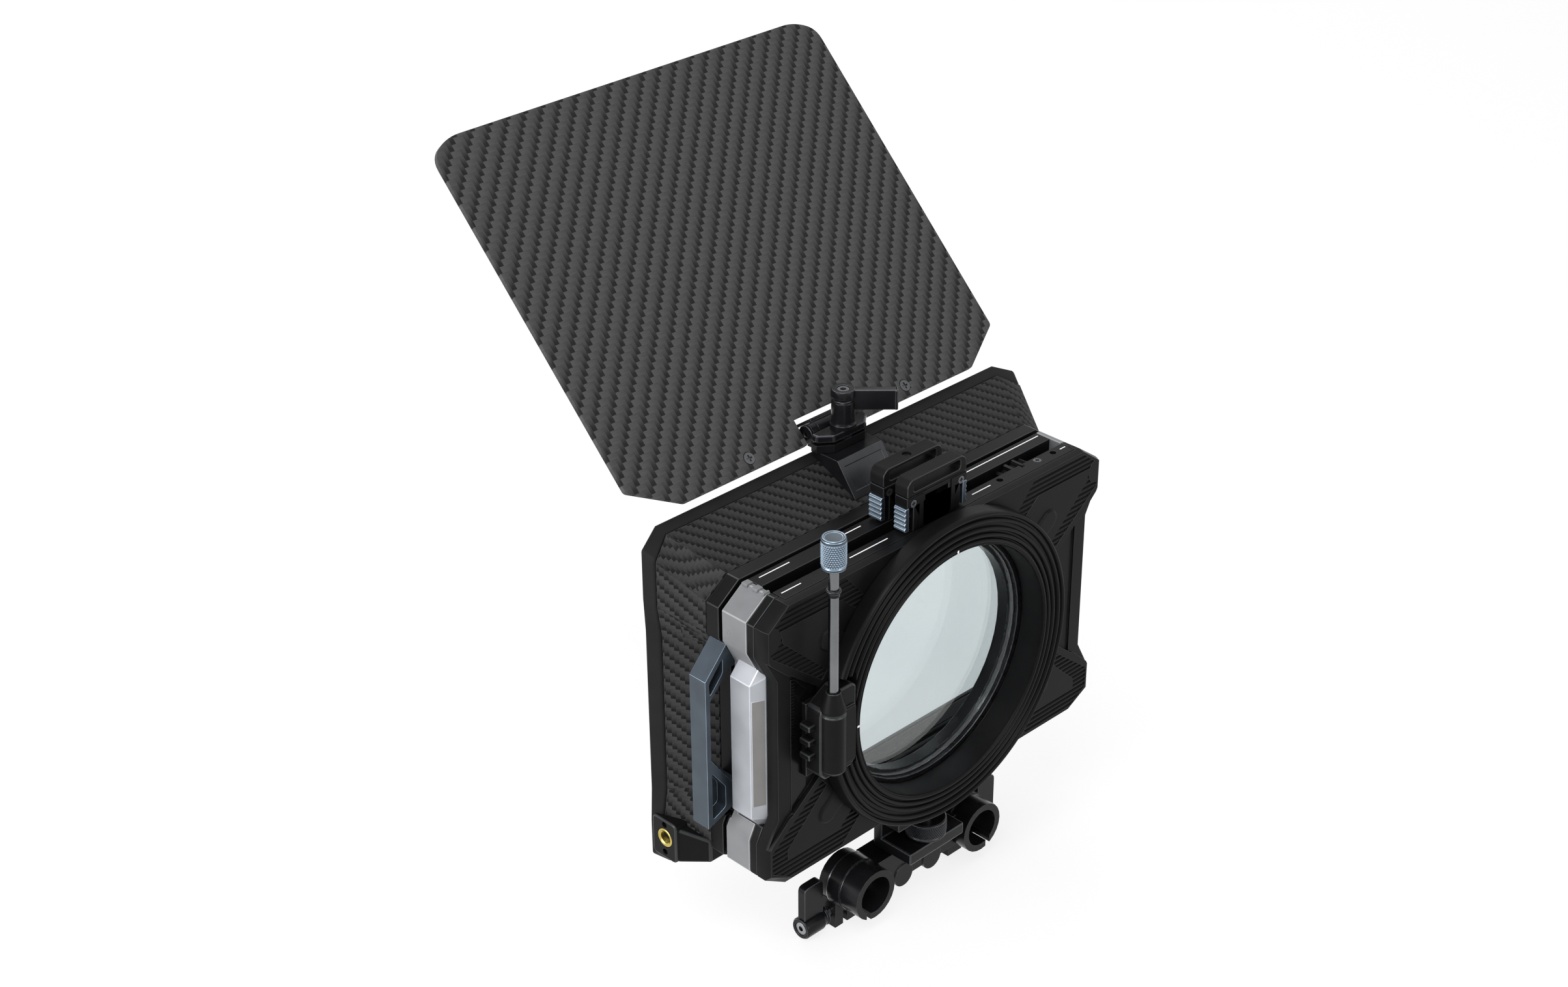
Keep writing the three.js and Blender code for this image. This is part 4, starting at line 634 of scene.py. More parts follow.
def grown(tree, mesh=None, **values):
    """The plain mesh that a tree makes from a mesh and its named inputs."""
    obj = bpy.data.objects.new("grown", mesh or bpy.data.meshes.new("seed"))
    bpy.context.scene.collection.objects.link(obj)
    modifier = obj.modifiers.new("grow", "NODES")
    modifier.node_group = tree
    for item in tree.interface.items_tree:
        if item.in_out == "INPUT" and item.name in values:
            modifier[item.identifier] = values[item.name]
    bpy.context.view_layer.update()
    graph = bpy.context.evaluated_depsgraph_get()
    result = bpy.data.meshes.new_from_object(obj.evaluated_get(graph))
    bpy.data.objects.remove(obj)
    return result


def make_rib_tree():
    """Parallel round ribs, cut to the closed region that they are given."""
    tree, given = new_tree("ribs_in_region", {
        "Start": "NodeSocketVector", "Step": "NodeSocketVector", "Turn": "NodeSocketVector",
        "Radius": "NodeSocketFloat", "Length": "NodeSocketFloat", "Count": "NodeSocketInt",
        "Material": "NodeSocketMaterial"})
    line = add_node(tree, "GeometryNodeMeshLine", {"Count": (given, "Count"), "Offset": (given, "Step"),
                                                  "Start Location": (given, "Start")})
    bar = add_node(tree, "GeometryNodeMeshCylinder", {"Vertices": RIB_SIDES, "Radius": (given, "Radius"),
                                                     "Depth": (given, "Length")})
    turn = add_node(tree, "FunctionNodeEulerToRotation", {"Euler": (given, "Turn")})
    bars = add_node(tree, "GeometryNodeInstanceOnPoints", {"Points": line, "Instance": (bar, "Mesh"),
                                                          "Rotation": turn})
    solid = add_node(tree, "GeometryNodeRealizeInstances", {"Geometry": bars})
    cut = add_node(tree, "GeometryNodeMeshBoolean", operation="INTERSECT", solver="EXACT")
    tree.links.new(given.outputs["Geometry"], cut.inputs["Mesh 2"])
    tree.links.new(solid.outputs[0], cut.inputs["Mesh 2"])
    end_tree(tree, given, (cut, "Mesh"))
    return tree


def make_knurl_tree():
    """Small pyramids in staggered rows round an upright axis."""
    tree, given = new_tree("diamond_knurl", {
        "Centre": "NodeSocketVector", "Radius": "NodeSocketFloat", "Row Height": "NodeSocketFloat",
        "Columns": "NodeSocketInt", "Rows": "NodeSocketInt", "Size": "NodeSocketFloat",
        "Depth": "NodeSocketFloat", "Material": "NodeSocketMaterial"})
    count = add_node(tree, "ShaderNodeMath", {0: (given, "Columns"), 1: (given, "Rows")},
                     operation="MULTIPLY")
    line = add_node(tree, "GeometryNodeMeshLine", {"Count": count})
    index = add_node(tree, "GeometryNodeInputIndex")
    column = add_node(tree, "ShaderNodeMath", {0: index, 1: (given, "Columns")}, operation="MODULO")
    row = add_node(tree, "ShaderNodeMath", {
        0: add_node(tree, "ShaderNodeMath", {0: index, 1: (given, "Columns")}, operation="DIVIDE")},
        operation="FLOOR")
    half = add_node(tree, "ShaderNodeMath", {
        0: add_node(tree, "ShaderNodeMath", {0: row, 1: 2.0}, operation="MODULO"), 1: 0.5, 2: column},
        operation="MULTIPLY_ADD")
    share = add_node(tree, "ShaderNodeMath", {0: half, 1: (given, "Columns")}, operation="DIVIDE")
    angle = add_node(tree, "ShaderNodeMath", {0: share, 1: 2 * math.pi}, operation="MULTIPLY")
    outward = add_node(tree, "ShaderNodeCombineXYZ", {
        "X": add_node(tree, "ShaderNodeMath", {0: angle}, operation="COSINE"),
        "Y": add_node(tree, "ShaderNodeMath", {0: angle}, operation="SINE")})
    reach = add_node(tree, "ShaderNodeVectorMath", {0: outward, "Scale": (given, "Radius")},
                     operation="SCALE")
    height = add_node(tree, "ShaderNodeCombineXYZ", {
        "Z": add_node(tree, "ShaderNodeMath", {0: row, 1: (given, "Row Height")}, operation="MULTIPLY")})
    spot = add_node(tree, "ShaderNodeVectorMath", {
        0: add_node(tree, "ShaderNodeVectorMath", {0: reach, 1: height}, operation="ADD"),
        1: (given, "Centre")}, operation="ADD")
    moved = add_node(tree, "GeometryNodeSetPosition", {"Geometry": line, "Position": spot})
    pyramid = add_node(tree, "GeometryNodeMeshCone", {"Vertices": 4, "Radius Top": 0.0,
                                                     "Radius Bottom": (given, "Size"),
                                                     "Depth": (given, "Depth")})
    turn = add_node(tree, "FunctionNodeAlignRotationToVector", {"Vector": outward}, axis="Z", pivot_axis="Z")
    upright = add_node(tree, "FunctionNodeAlignRotationToVector", {"Rotation": turn, "Vector": (0, 0, 1)},
                       axis="X", pivot_axis="Z")
    studs = add_node(tree, "GeometryNodeInstanceOnPoints", {"Points": moved, "Instance": (pyramid, "Mesh"),
                                                           "Rotation": upright})
    end_tree(tree, given, studs)
    return tree


def make_screw_tree():
    """Cross-slotted screw heads on given points, each facing along its point's normal attribute."""
    tree, given = new_tree("cross_slotted_screws", {"Radius": "NodeSocketFloat", "Height": "NodeSocketFloat",
                                                   "Material": "NodeSocketMaterial"})
    head = add_node(tree, "GeometryNodeMeshCylinder", {"Vertices": HEAD_SIDES, "Radius": (given, "Radius"),
                                                      "Depth": (given, "Height")})
    long = add_node(tree, "ShaderNodeMath", {0: (given, "Radius"), 1: SLOT_LENGTH_SHARE},
                    operation="MULTIPLY")
    thin = add_node(tree, "ShaderNodeMath", {0: (given, "Radius"), 1: SLOT_WIDTH_SHARE}, operation="MULTIPLY")
    deep = add_node(tree, "ShaderNodeMath", {0: (given, "Height"), 1: SLOT_HEIGHT_SHARE},
                    operation="MULTIPLY")
    lifted = add_node(tree, "ShaderNodeCombineXYZ", {
        "Z": add_node(tree, "ShaderNodeMath", {0: (given, "Height"), 1: 0.5}, operation="MULTIPLY")})
    slots = []
    for x, y in ((long, thin), (thin, long)):
        size = add_node(tree, "ShaderNodeCombineXYZ", {"X": x, "Y": y, "Z": deep})
        bar = add_node(tree, "GeometryNodeMeshCube", {"Size": size})
        slots.append(add_node(tree, "GeometryNodeTransform", {"Geometry": (bar, "Mesh"),
                                                             "Translation": lifted}))
    cut = add_node(tree, "GeometryNodeMeshBoolean", {"Mesh 1": (head, "Mesh")}, operation="DIFFERENCE",
                   solver="EXACT")
    for slot in slots:
        tree.links.new(slot.outputs[0], cut.inputs["Mesh 2"])
    facing = add_node(tree, "GeometryNodeInputNamedAttribute", {"Name": "facing"}, data_type="FLOAT_VECTOR")
    turn = add_node(tree, "FunctionNodeAlignRotationToVector", {"Vector": facing}, axis="Z")
    heads = add_node(tree, "GeometryNodeInstanceOnPoints", {"Points": (given, "Geometry"),
                                                           "Instance": (cut, "Mesh"), "Rotation": turn})
    end_tree(tree, given, heads)
    return tree


RIBS = make_rib_tree()
KNURL = make_knurl_tree()
SCREWS = make_screw_tree()


def in_metres(*values):
    """Values in metres, from millimetres."""
    return [value * MM for value in values]


def ribs(region, start, step, turn, radius, length, count, material):
    """Ribs in a region, from sizes in millimetres."""
    return grown(RIBS, region, Start=in_metres(*start), Step=in_metres(*step), Turn=turn, Radius=radius * MM,
                 Length=length * MM, Count=count, Material=material)


def screw_heads(places, facing, radius, height, material):
    """Screw heads of one size at several places that all face the same way."""
    seed = bpy.data.meshes.new("places")
    seed.from_pydata([in_metres(*place) for place in places], [], [])
    attribute = seed.attributes.new("facing", "FLOAT_VECTOR", "POINT")
    for item in attribute.data:
        item.vector = facing
    return grown(SCREWS, seed, Radius=radius * MM, Height=height * MM, Material=material)


# Floor, light and backdrop: the floor is in millimetres, the lamps are in metres and watts
FLOOR_Z = round(cad_box[0][2] / MM, FRAME_DIGITS)
FLOOR_HALF_WIDTH = 8000.0
FLOOR_COLOUR = "#f0f0f0"
FLOOR_ROUGHNESS = 0.9
FLOOR_GLOW = 0.8
WORLD_STRENGTH = 0.5
WHITE = "#ffffff"
LAMPS = {
    "key_light": {"place": (-0.9, -0.5, 1.6), "size": 1.0, "power": 24},
    "left_light": {"place": (-1.6, 0.3, 0.4), "size": 1.0, "power": 22},
    "front_light": {"place": (0.6, 1.4, 1.2), "size": 1.2, "power": 14},
    "rear_light": {"place": (0.3, -1.7, 0.5), "size": 0.8, "power": 9},
}


def backdrop_share(tree, strength):
    """How much of a backdrop's own light a ray sees: camera, glossy and transmission rays see all of it."""
    path = add_node(tree, "ShaderNodeLightPath")
    mirror = add_node(tree, "ShaderNodeMath", {0: (path, "Is Camera Ray"), 1: (path, "Is Glossy Ray")},
                      operation="MAXIMUM")
    clear = add_node(tree, "ShaderNodeMath", {0: mirror, 1: (path, "Is Transmission Ray")},
                     operation="MAXIMUM")
    return add_node(tree, "ShaderNodeMath", {0: clear, 1: strength}, operation="MULTIPLY")


def make_floor():
    half = FLOOR_HALF_WIDTH
    corners = [(-half, -half), (half, -half), (half, half), (-half, half)]
    mesh = bpy.data.meshes.new("floor")
    mesh.from_pydata([in_metres(x, y, FLOOR_Z) for x, y in corners], [], [range(len(corners))])
    floor = bpy.data.objects.new("floor", mesh)
    bpy.context.scene.collection.objects.link(floor)
    material, tree, shader = new_material("pale_floor")
    feed(tree, shader, {"Base Color": linear(FLOOR_COLOUR), "Roughness": FLOOR_ROUGHNESS})
    glow = add_node(tree, "ShaderNodeEmission", {"Color": linear(WHITE), "Strength": 1.0})
    mix = add_node(tree, "ShaderNodeMixShader", {0: backdrop_share(tree, FLOOR_GLOW), 1: shader, 2: glow})
    output = next(node for node in tree.nodes if node.type == "OUTPUT_MATERIAL")
    feed(tree, output, {"Surface": mix})
    mesh.materials.append(material)


def make_lamp(name, place, size, power):
    """A square lamp that faces the middle of the object."""
    lamp = bpy.data.lights.new(name, "AREA")
    lamp.shape = "SQUARE"
    lamp.size = size
    lamp.energy = power
    obj = bpy.data.objects.new(name, lamp)
    bpy.context.scene.collection.objects.link(obj)
    obj.location = place
    obj.rotation_euler = (-Vector(place)).to_track_quat("-Z", "Y").to_euler()


def make_light():
    for name, lamp in LAMPS.items():
        make_lamp(name, **lamp)
    world = bpy.data.worlds.new("studio")
    bpy.context.scene.world = world
    world.use_nodes = True
    tree = world.node_tree
    tree.nodes.clear()
    dim = add_node(tree, "ShaderNodeBackground", {"Color": linear(WHITE), "Strength": WORLD_STRENGTH})
    white = add_node(tree, "ShaderNodeBackground", {"Color": linear(WHITE), "Strength": 1.0})
    mix = add_node(tree, "ShaderNodeMixShader", {0: backdrop_share(tree, 1.0), 1: dim, 2: white})
    add_node(tree, "ShaderNodeOutputWorld", {"Surface": mix})
    bpy.context.scene.view_settings.view_transform = "Standard"


# The two sides that most pieces come on, and the four corners
SIDES = (("left", -1), ("right", 1))
SIGNS = (-1, 1)
CORNERS = [(side, up) for side in SIGNS for up in SIGNS]
# Facings of screws, and the turn of a rib that lies along X
UPWARDS = (0.0, 0.0, 1.0)
REARWARDS = (0.0, -1.0, 0.0)
ALONG_X = (0.0, math.pi / 2, 0.0)

# Rear housing: raised petals in the corners, ribbed round a smooth island, and a lower column on each side
HALF_WIDTH = span("rear_housing", "X")[1]
HALF_HEIGHT = span("rear_housing", "Z")[1]
HOUSING_FRONT = span("rear_housing", "Y")[1]
SHELL_RIGHT = [(77.8, HALF_HEIGHT), (HALF_WIDTH, 51.8), (HALF_WIDTH, 39.4), (82.3, 29), (82.3, -29),
               (HALF_WIDTH, -39.4), (HALF_WIDTH, -53), (77.8, -HALF_HEIGHT)]
FACE_RIGHT = [(77.4, 58.6), (86.95, 51.4), (86.95, 39.7), (81.5, 29.3), (81.5, -29.3), (86.95, -39.7),
              (86.95, -50.9), (76.5, -56.4)]
CHAMFER_DEPTH = 2.4
PETAL_DEPTH = 0.55
PETAL_FLOOR = {1: [(61.3, 21.3), (86.1, 41.2), (86.1, 50.7), (77.4, 57.4), (49.5, 57.4), (40.4, 47.0)],
               -1: [(61.3, 21.3), (86.1, 41.2), (86.1, 50.0), (77.9, 55.2), (50.9, 55.2), (41.6, 46.2)]}
ISLAND = {1: [(57.0, 24.0), (59.6, 25.0), (78.6, 43.2), (80.2, 44.4), (81.3, 50.0), (52.0, 50.0),
              (41.0, 40.0), (45.0, 28.0)],
          -1: [(57.0, 24.0), (59.6, 25.0), (78.6, 43.2), (78.6, 47.6), (52.2, 47.6), (43.0, 39.0),
               (45.0, 28.0)]}
RIB_PITCH = 2.0
RIB_FIRST = 21.45
RIB_COUNT = 19
RIB_RADIUS = 0.62
RIB_MIDDLE = 65.0
RIB_LENGTH = 60.0
PILL_TIP = (58.6, 37.0)
PILL_ROOT = (47.0, 28.3)
PILL_RADIUS = 4.6
PILL_HEIGHT = 0.7
PILL_SLOPE = 0.9
PILL_SINK = 0.1
ROUND_COVER = (86.3, 47.6)
ROUND_COVER_RADIUS = 5.2
COLUMN = [(75.3, 29.3), (77.5, 30.1), (89.0, 40.9), (89.0, -40.9), (77.5, -30.1), (75.3, -29.3)]
COLUMN_DEPTH = 1.2
RELIEF = [(75.9, 29.5), (62.0, 18.5), (62.0, -18.5), (75.9, -29.5)]
RELIEF_DEPTH = 2.0
# Room for the trays, and the bore that the port ring sits in
SLOT = [(-75.9, -55.9), (75.9, -55.9), (75.9, 62.0), (-75.9, 62.0)]
SLOT_SPAN = (3.3, 8.0)
BORE_RADIUS = 54.8
BORE_DEPTH = 5.0


def capsule(tip, root, radius, steps=14):
    """Outline of a long rounded pill that ends square at its root."""
    along = (Vector(tip) - Vector(root)).normalized()
    aside = Vector((-along.y, along.x))
    points = [Vector(root) + aside * radius, Vector(root) - aside * radius]
    for step in range(steps + 1):
        angle = math.pi * step / steps - math.pi / 2
        points.append(Vector(tip) + along * radius * math.cos(angle) + aside * radius * math.sin(angle))
    return [tuple(point) for point in points]


def circle(centre, radius, steps=40):
    return [(centre[0] + radius * math.cos(2 * math.pi * i / steps),
             centre[1] + radius * math.sin(2 * math.pi * i / steps)) for i in range(steps)]


def petal_region(side, up):
    """The ribbed floor of one petal: its whole floor without the island and, above, the round cover."""
    floor = prism(flipped(PETAL_FLOOR[up], side, up), "XZY", -OVERRUN, PETAL_DEPTH)
    kept = [ISLAND[up]]
    if up > 0:
        kept.append(circle(ROUND_COVER, ROUND_COVER_RADIUS))
    return carved(floor, *[prism(flipped(outline, side, up), "XZY", -2 * OVERRUN, 2 * OVERRUN)
                           for outline in kept])


def dress_rear_housing():
    regions = [petal_region(side, up) for side, up in CORNERS]
    shell = mirrored_outline(SHELL_RIGHT)
    body = lofted([(mirrored_outline(FACE_RIGHT), 0.0), (shell, CHAMFER_DEPTH), (shell, HOUSING_FRONT)],
                  "XZY")
    body = carved(body, prism(SLOT, "XZY", *SLOT_SPAN))
    body = carved(body, prism(circle((0, 0), BORE_RADIUS, steps=160), "XZY", -2 * OVERRUN, BORE_DEPTH))
    for outline, depth in ((COLUMN, COLUMN_DEPTH), (RELIEF, RELIEF_DEPTH)):
        body = carved(body, *[prism(flipped(outline, side), "XZY", -2 * OVERRUN, depth) for side in SIGNS])
    for region in regions:
        body = carved(body, region)
    dress("rear_housing", rounded(body, "rear_housing"))
    ribbing = [ribs(region, (side * RIB_MIDDLE, RIB_RADIUS, up * RIB_FIRST), (0.0, 0.0, up * RIB_PITCH),
                    ALONG_X, RIB_RADIUS, RIB_LENGTH, RIB_COUNT, MOULDED_NYLON)
               for region, (side, up) in zip(regions, CORNERS)]
    add_trim("petal_ribs", joined(*ribbing), MOULDED_NYLON, "rear_housing")
    pill = lofted([(capsule(PILL_TIP, PILL_ROOT, PILL_RADIUS - PILL_SLOPE), -PILL_HEIGHT),
                   (capsule(PILL_TIP, PILL_ROOT, PILL_RADIUS), PILL_SINK)], "XZY")
    pill = rounded(pill, "petal_boss", paint_edge_highlight=False)
    pills = [pill, mirrored(pill), mirrored(pill, axis=2), mirrored(mirrored(pill), axis=2)]
    add_trim("petal_bosses", joined(*pills), MOULDED_NYLON, "rear_housing")


# Port ring: ridges on its rear face, and an index mark above and on the left
PORT_BORE = 49.4
PORT_OUTER = span("port_ring", "X")[1]
PORT_SEAT = 54.5
PORT_FACE, PORT_SPIGOT_END = span("port_ring", "Y")
PORT_RIM_DEPTH = 2.0
PORT_BACK = -0.3
PORT_CHAMFER = 0.4
PORT_CRESTS = (50.9, 53.1, 55.6, 58.7, 61.3)
PORT_RIDGE = [(-0.95, 1.2), (-0.62, 0.3), (-0.25, 0.0), (0.3, 0.0), (0.66, 0.3), (0.95, 1.2)]
PORT_NOTCH = [(-66.0, -14.4), (-51.6, -14.4), (-51.6, 22.9), (-66.0, 22.9)]
PORT_NOTCH_SPAN = (-9.0, -0.15)
INDEX_MARK = (49.9, 51.0)
INDEX_MARK_HALF = 0.35
INDEX_MARK_LIFT = 0.03


def dress_port_ring():
    profile = [(PORT_SEAT, PORT_SPIGOT_END), (PORT_BORE, PORT_SPIGOT_END),
               (PORT_BORE, PORT_FACE + PORT_CHAMFER), (PORT_BORE + PORT_CHAMFER, PORT_FACE)]
    for crest in PORT_CRESTS:
        ridge = PORT_RIDGE[1:] if crest == PORT_CRESTS[0] else PORT_RIDGE
        profile += [(crest + across, PORT_FACE + down) for across, down in ridge]
    profile += [(PORT_OUTER, PORT_FACE + PORT_RIM_DEPTH), (PORT_OUTER, PORT_BACK), (PORT_SEAT, PORT_BACK)]
    ring = carved(turned(profile, "XZY", steps=192), prism(PORT_NOTCH, "XZY", *PORT_NOTCH_SPAN))
    dress("port_ring", ring)
    inner, outer = INDEX_MARK
    width = (-INDEX_MARK_HALF, INDEX_MARK_HALF)
    depth = (PORT_FACE - INDEX_MARK_LIFT, PORT_FACE + PORT_CHAMFER)
    marks = [block(width, depth, INDEX_MARK), block((-outer, -inner), depth, width)]
    add_trim("port_index_marks", joined(*marks), WHITE_PAINT, "port_ring")


# Window strip in the left recess, and the teeth beside it
WINDOW = [(-75.4, 27.0), (-75.4, -28.4), (-73.7, -27.4), (-68.0, -21.6), (-68.0, 20.4), (-73.4, 26.4)]
WINDOW_SPAN = (1.45, 1.95)
SCALE = {"x": (-75.2, -73.6), "y": (1.2, 1.6), "z": (1.0, 26.2)}
TOOTH_FIRST = (-74.4, 1.62, 1.6)
TOOTH_STEP = (0.0, 0.0, 1.3)
TOOTH_RADIUS = 0.4
TOOTH_LENGTH = 4.0
TOOTH_COUNT = 20


def dress_window():
    dress("scale_window", rounded(prism(WINDOW, "XZY", *WINDOW_SPAN), "scale_window"), SMOOTH_NYLON)
    teeth = ribs(block(**SCALE), TOOTH_FIRST, TOOTH_STEP, ALONG_X, TOOTH_RADIUS, TOOTH_LENGTH, TOOTH_COUNT,
                 SMOOTH_NYLON)
    add_trim("scale_teeth", teeth, SMOOTH_NYLON, "scale_window")


# Bright bar and blue handle on each side: the bar's rear face slants in over the housing's waist
BAR_INNER = span("side_bar_right", "X")[0]
BAR_FOOT, BAR_HEAD = span("side_bar_right", "Z")
BAR = [(BAR_INNER, 29.5), (82.3, BAR_HEAD), (HALF_WIDTH, 26.5), (HALF_WIDTH, -29.5), (82.3, BAR_FOOT),
       (BAR_INNER, -33.0)]
BAR_WAIST = [(80.6, 29.2), (81.6, 30.2), (82.3, 28.8), (82.3, -30.6), (81.6, -33.2), (80.6, -32.4)]
BAR_WAIST_Y = 6.45
BAR_REAR_Y = 9.0
BAR_FRONT_Y = span("side_bar_right", "Y")[1]
# The bar's blunt edges are rounded too, down to this angle
BAR_ANGLE = 20
BAR_PLATE = [(82.7, 6.52), (87.2, 8.62), (87.2, 8.95), (82.7, 6.85)]
BAR_PLATE_SPAN = (-24.5, 20.0)
HANDLE_ROOT, HANDLE_GRIP = span("side_handle_right", "X")
HANDLE_REAR_Y, HANDLE_FRONT_Y = span("side_handle_right", "Y")
HANDLE_FOOT, HANDLE_HEAD = span("side_handle_right", "Z")
HANDLE = [(HANDLE_GRIP, 26.3), (86.5, HANDLE_HEAD), (HANDLE_ROOT, HANDLE_HEAD), (HANDLE_ROOT, 27.5),
          (85.2, 27.5), (94.6, 17.3), (94.6, -7.4), (85.2, -20.5), (HANDLE_ROOT, -20.5),
          (HANDLE_ROOT, -31.8), (85.2, -31.8), (HANDLE_GRIP, HANDLE_FOOT)]
POCKET_FLOOR_Y = 26.3
POCKET_CORNER = 1.2
HANDLE_POCKETS = ([(94.9, 24.8), (88.3, 32.6), (88.3, 26.6), (94.6, 19.6)],
                  [(94.4, -13.0), (88.0, -21.4), (88.0, -30.2), (94.4, -33.0)])


def dress_side(name, side):
    bar = lofted([(flipped(BAR_WAIST, side), BAR_WAIST_Y), (flipped(BAR, side), BAR_REAR_Y),
                  (flipped(BAR, side), BAR_FRONT_Y)], "XZY")
    dress(f"side_bar_{name}", rounded(bar, "side_bar", angle_degrees=BAR_ANGLE))
    # The plate on the bar's slanted rear face is milled aluminium darkened with painted shade
    plate = rounded(prism(flipped(BAR_PLATE, side), "XYZ", *BAR_PLATE_SPAN), "side_bar_plate")
    add_trim(f"side_bar_plate_{name}", plate, MILLED_FACE_PAINTED_SHADE, f"side_bar_{name}")
    handle = prism(flipped(HANDLE, side), "XZY", HANDLE_REAR_Y, HANDLE_FRONT_Y)
    pockets = [prism(flipped(softened(pocket, POCKET_CORNER), side), "XZY", HANDLE_REAR_Y - OVERRUN,
                     POCKET_FLOOR_Y) for pocket in HANDLE_POCKETS]
    dress(f"side_handle_{name}", rounded(carved(handle, *pockets), "side_handle"))


# Front plate: room at the waist for the bars' rear faces
WAIST_ROOM = [(80.5, 30.4), (80.5, -33.4), (90.0, -33.4), (90.0, 30.4)]
WAIST_ROOM_SPAN = (6.0, 10.6)


def dress_front_plate():
    rooms = [prism(flipped(WAIST_ROOM, side), "XZY", *WAIST_ROOM_SPAN) for side in SIGNS]
    dress("front_plate", rounded(carved(cad_copy("front_plate"), *rooms), "front_plate"))


# Grey stage: three small lobes on top of the left end, and a small screw in each cheek
LOBES = [(10.5, 11.6), (13.8, 16.6), (18.8, 21.6)]
LOBE_WIDTH_SPAN = (-79.0, -75.9)
LOBE_HEIGHT_SPAN = (58.3, 59.6)
STAGE_SCREW = (87.65, 19.2, 44.0)
STAGE_SCREW_RADIUS = 1.1
STAGE_SCREW_HEIGHT = 0.3


def dress_stage():
    dress("stage_frame", rounded(cad_copy("stage_frame"), "stage_frame"))
    lobes = [rounded(block(LOBE_WIDTH_SPAN, lobe, LOBE_HEIGHT_SPAN), "stage_lobe", paint_edge_highlight=False)
             for lobe in LOBES]
    add_trim("stage_lobes", joined(*lobes), GREY_POLYMER, "stage_frame")
    x, y, z = STAGE_SCREW
    for name, side in SIDES:
        head = screw_heads([(side * x, y, z)], (side, 0.0, 0.0), STAGE_SCREW_RADIUS, STAGE_SCREW_HEIGHT,
                           GREY_POLYMER)
        add_trim(f"stage_screw_{name}", head, GREY_POLYMER, "stage_frame")


# Trays: white lines on both tops, and wells with a screw on the rear one
TRAY_TOP = span("rear_tray_frame", "Z")[1]
LINE_WIDTH = 0.45
LINE_SINK = 0.1
LINE_LIFT = 0.04
FRONT_LINES = [(-72.0, -57.4), (-29.8, -21.9), (33.6, 74.3)]
REAR_LINES = [(-73.8, -64.5), (-40.6, -21.5), (23.0, 33.0), (72.0, 75.0)]
FRONT_LINE_Y = 20.0
REAR_LINE_Y = 7.2
TRAY_HOLES = [(38.4, 7.5), (68.3, 7.4)]
TRAY_HOLE_RADIUS = 1.35
TRAY_HOLE_DEPTH = 2.5
TRAY_SCREW = (59.9, 7.9)
TRAY_SCREW_RADIUS = 1.6
TRAY_SCREW_HEIGHT = 0.9
TRAY_SCREW_DEPTH = 0.65
TRAY_WELL_RADIUS = 1.75
TRAY_WELL_DEPTH = 0.9


def tray_lines(lines, y):
    """White lines along a tray's top."""
    width = (y - LINE_WIDTH / 2, y + LINE_WIDTH / 2)
    height = (TRAY_TOP - LINE_SINK, TRAY_TOP + LINE_LIFT)
    return joined(*[block(line, width, height) for line in lines])


def dress_trays():
    wells = [rod(TRAY_HOLE_RADIUS, "XYZ", hole, TRAY_TOP - TRAY_HOLE_DEPTH, TRAY_TOP + OVERRUN)
             for hole in TRAY_HOLES]
    wells.append(rod(TRAY_WELL_RADIUS, "XYZ", TRAY_SCREW, TRAY_TOP - TRAY_WELL_DEPTH, TRAY_TOP + OVERRUN))
    dress("rear_tray_frame", rounded(carved(cad_copy("rear_tray_frame"), *wells), "tray_frame"))
    dress("front_tray_frame", rounded(cad_copy("front_tray_frame"), "tray_frame"))
    add_trim("rear_tray_lines", tray_lines(REAR_LINES, REAR_LINE_Y), WHITE_PAINT, "rear_tray_frame")
    add_trim("front_tray_lines", tray_lines(FRONT_LINES, FRONT_LINE_Y), WHITE_PAINT, "front_tray_frame")
    place = (*TRAY_SCREW, TRAY_TOP - TRAY_SCREW_DEPTH)
    head = screw_heads([place], UPWARDS, TRAY_SCREW_RADIUS, TRAY_SCREW_HEIGHT, BLACKENED_STEEL)
    add_trim("rear_tray_screw", head, BLACKENED_STEEL, "rear_tray_frame")


# Grips: block with raised cheeks and screws, strap with a long slot, sprung latches
GRIP_LAYERS = {name: span(f"{name}_tray_strap", "Y") for name in ("rear", "front")}
STRAP_HALF_WIDTH = span("rear_tray_strap", "X")[1]
STRAP_FOOT, STRAP_TOP = span("rear_tray_strap", "Z")
STRAP_RIGHT = [(STRAP_HALF_WIDTH, STRAP_FOOT), (STRAP_HALF_WIDTH, 78.2), (13.4, STRAP_TOP)]
STRAP_CORNERS = [0.4, 1.2, 1.2]
STRAP_SLOT = [(-12.2, 75.2), (12.2, 75.2), (12.2, 79.1), (-12.2, 79.1)]
STRAP_SLOT_CORNER = 1.3
STRAP_HOLE_RADIUS = 1.75
STRAP_HOLE_SPAN = (79.0, 81.0)
GRIP_CHEEK = [(7.3, 60.0), (9.2, 60.0), (9.2, 69.9), (15.1, 69.9), (15.1, 73.2), (7.3, 73.2)]
GRIP_CHEEK_LIFT = 0.3
GRIP_CHEEK_SINK = 0.6
GRIP_WELL_RADIUS = 1.75
GRIP_WELL_FLOOR = 0.15
GRIP_SCREW = (12.4, 70.9)
GRIP_SCREW_RADIUS = 1.5
GRIP_SCREW_HEIGHT = 0.5
GRIP_SCREW_LIFT = 0.05


def dress_strap(name, rear, front):
    outline = softened(mirrored_outline(STRAP_RIGHT), STRAP_CORNERS + STRAP_CORNERS[::-1])
    slot = prism(softened(STRAP_SLOT, STRAP_SLOT_CORNER), "XZY", rear - OVERRUN, front + OVERRUN)
    strap = rounded(carved(prism(outline, "XZY", rear, front), slot), "tray_strap")
    if name == "front":
        middle = (0.0, (rear + front) / 2)
        strap = carved(strap, rod(STRAP_HOLE_RADIUS, "XYZ", middle, *STRAP_HOLE_SPAN))
    dress(f"{name}_tray_strap", strap)


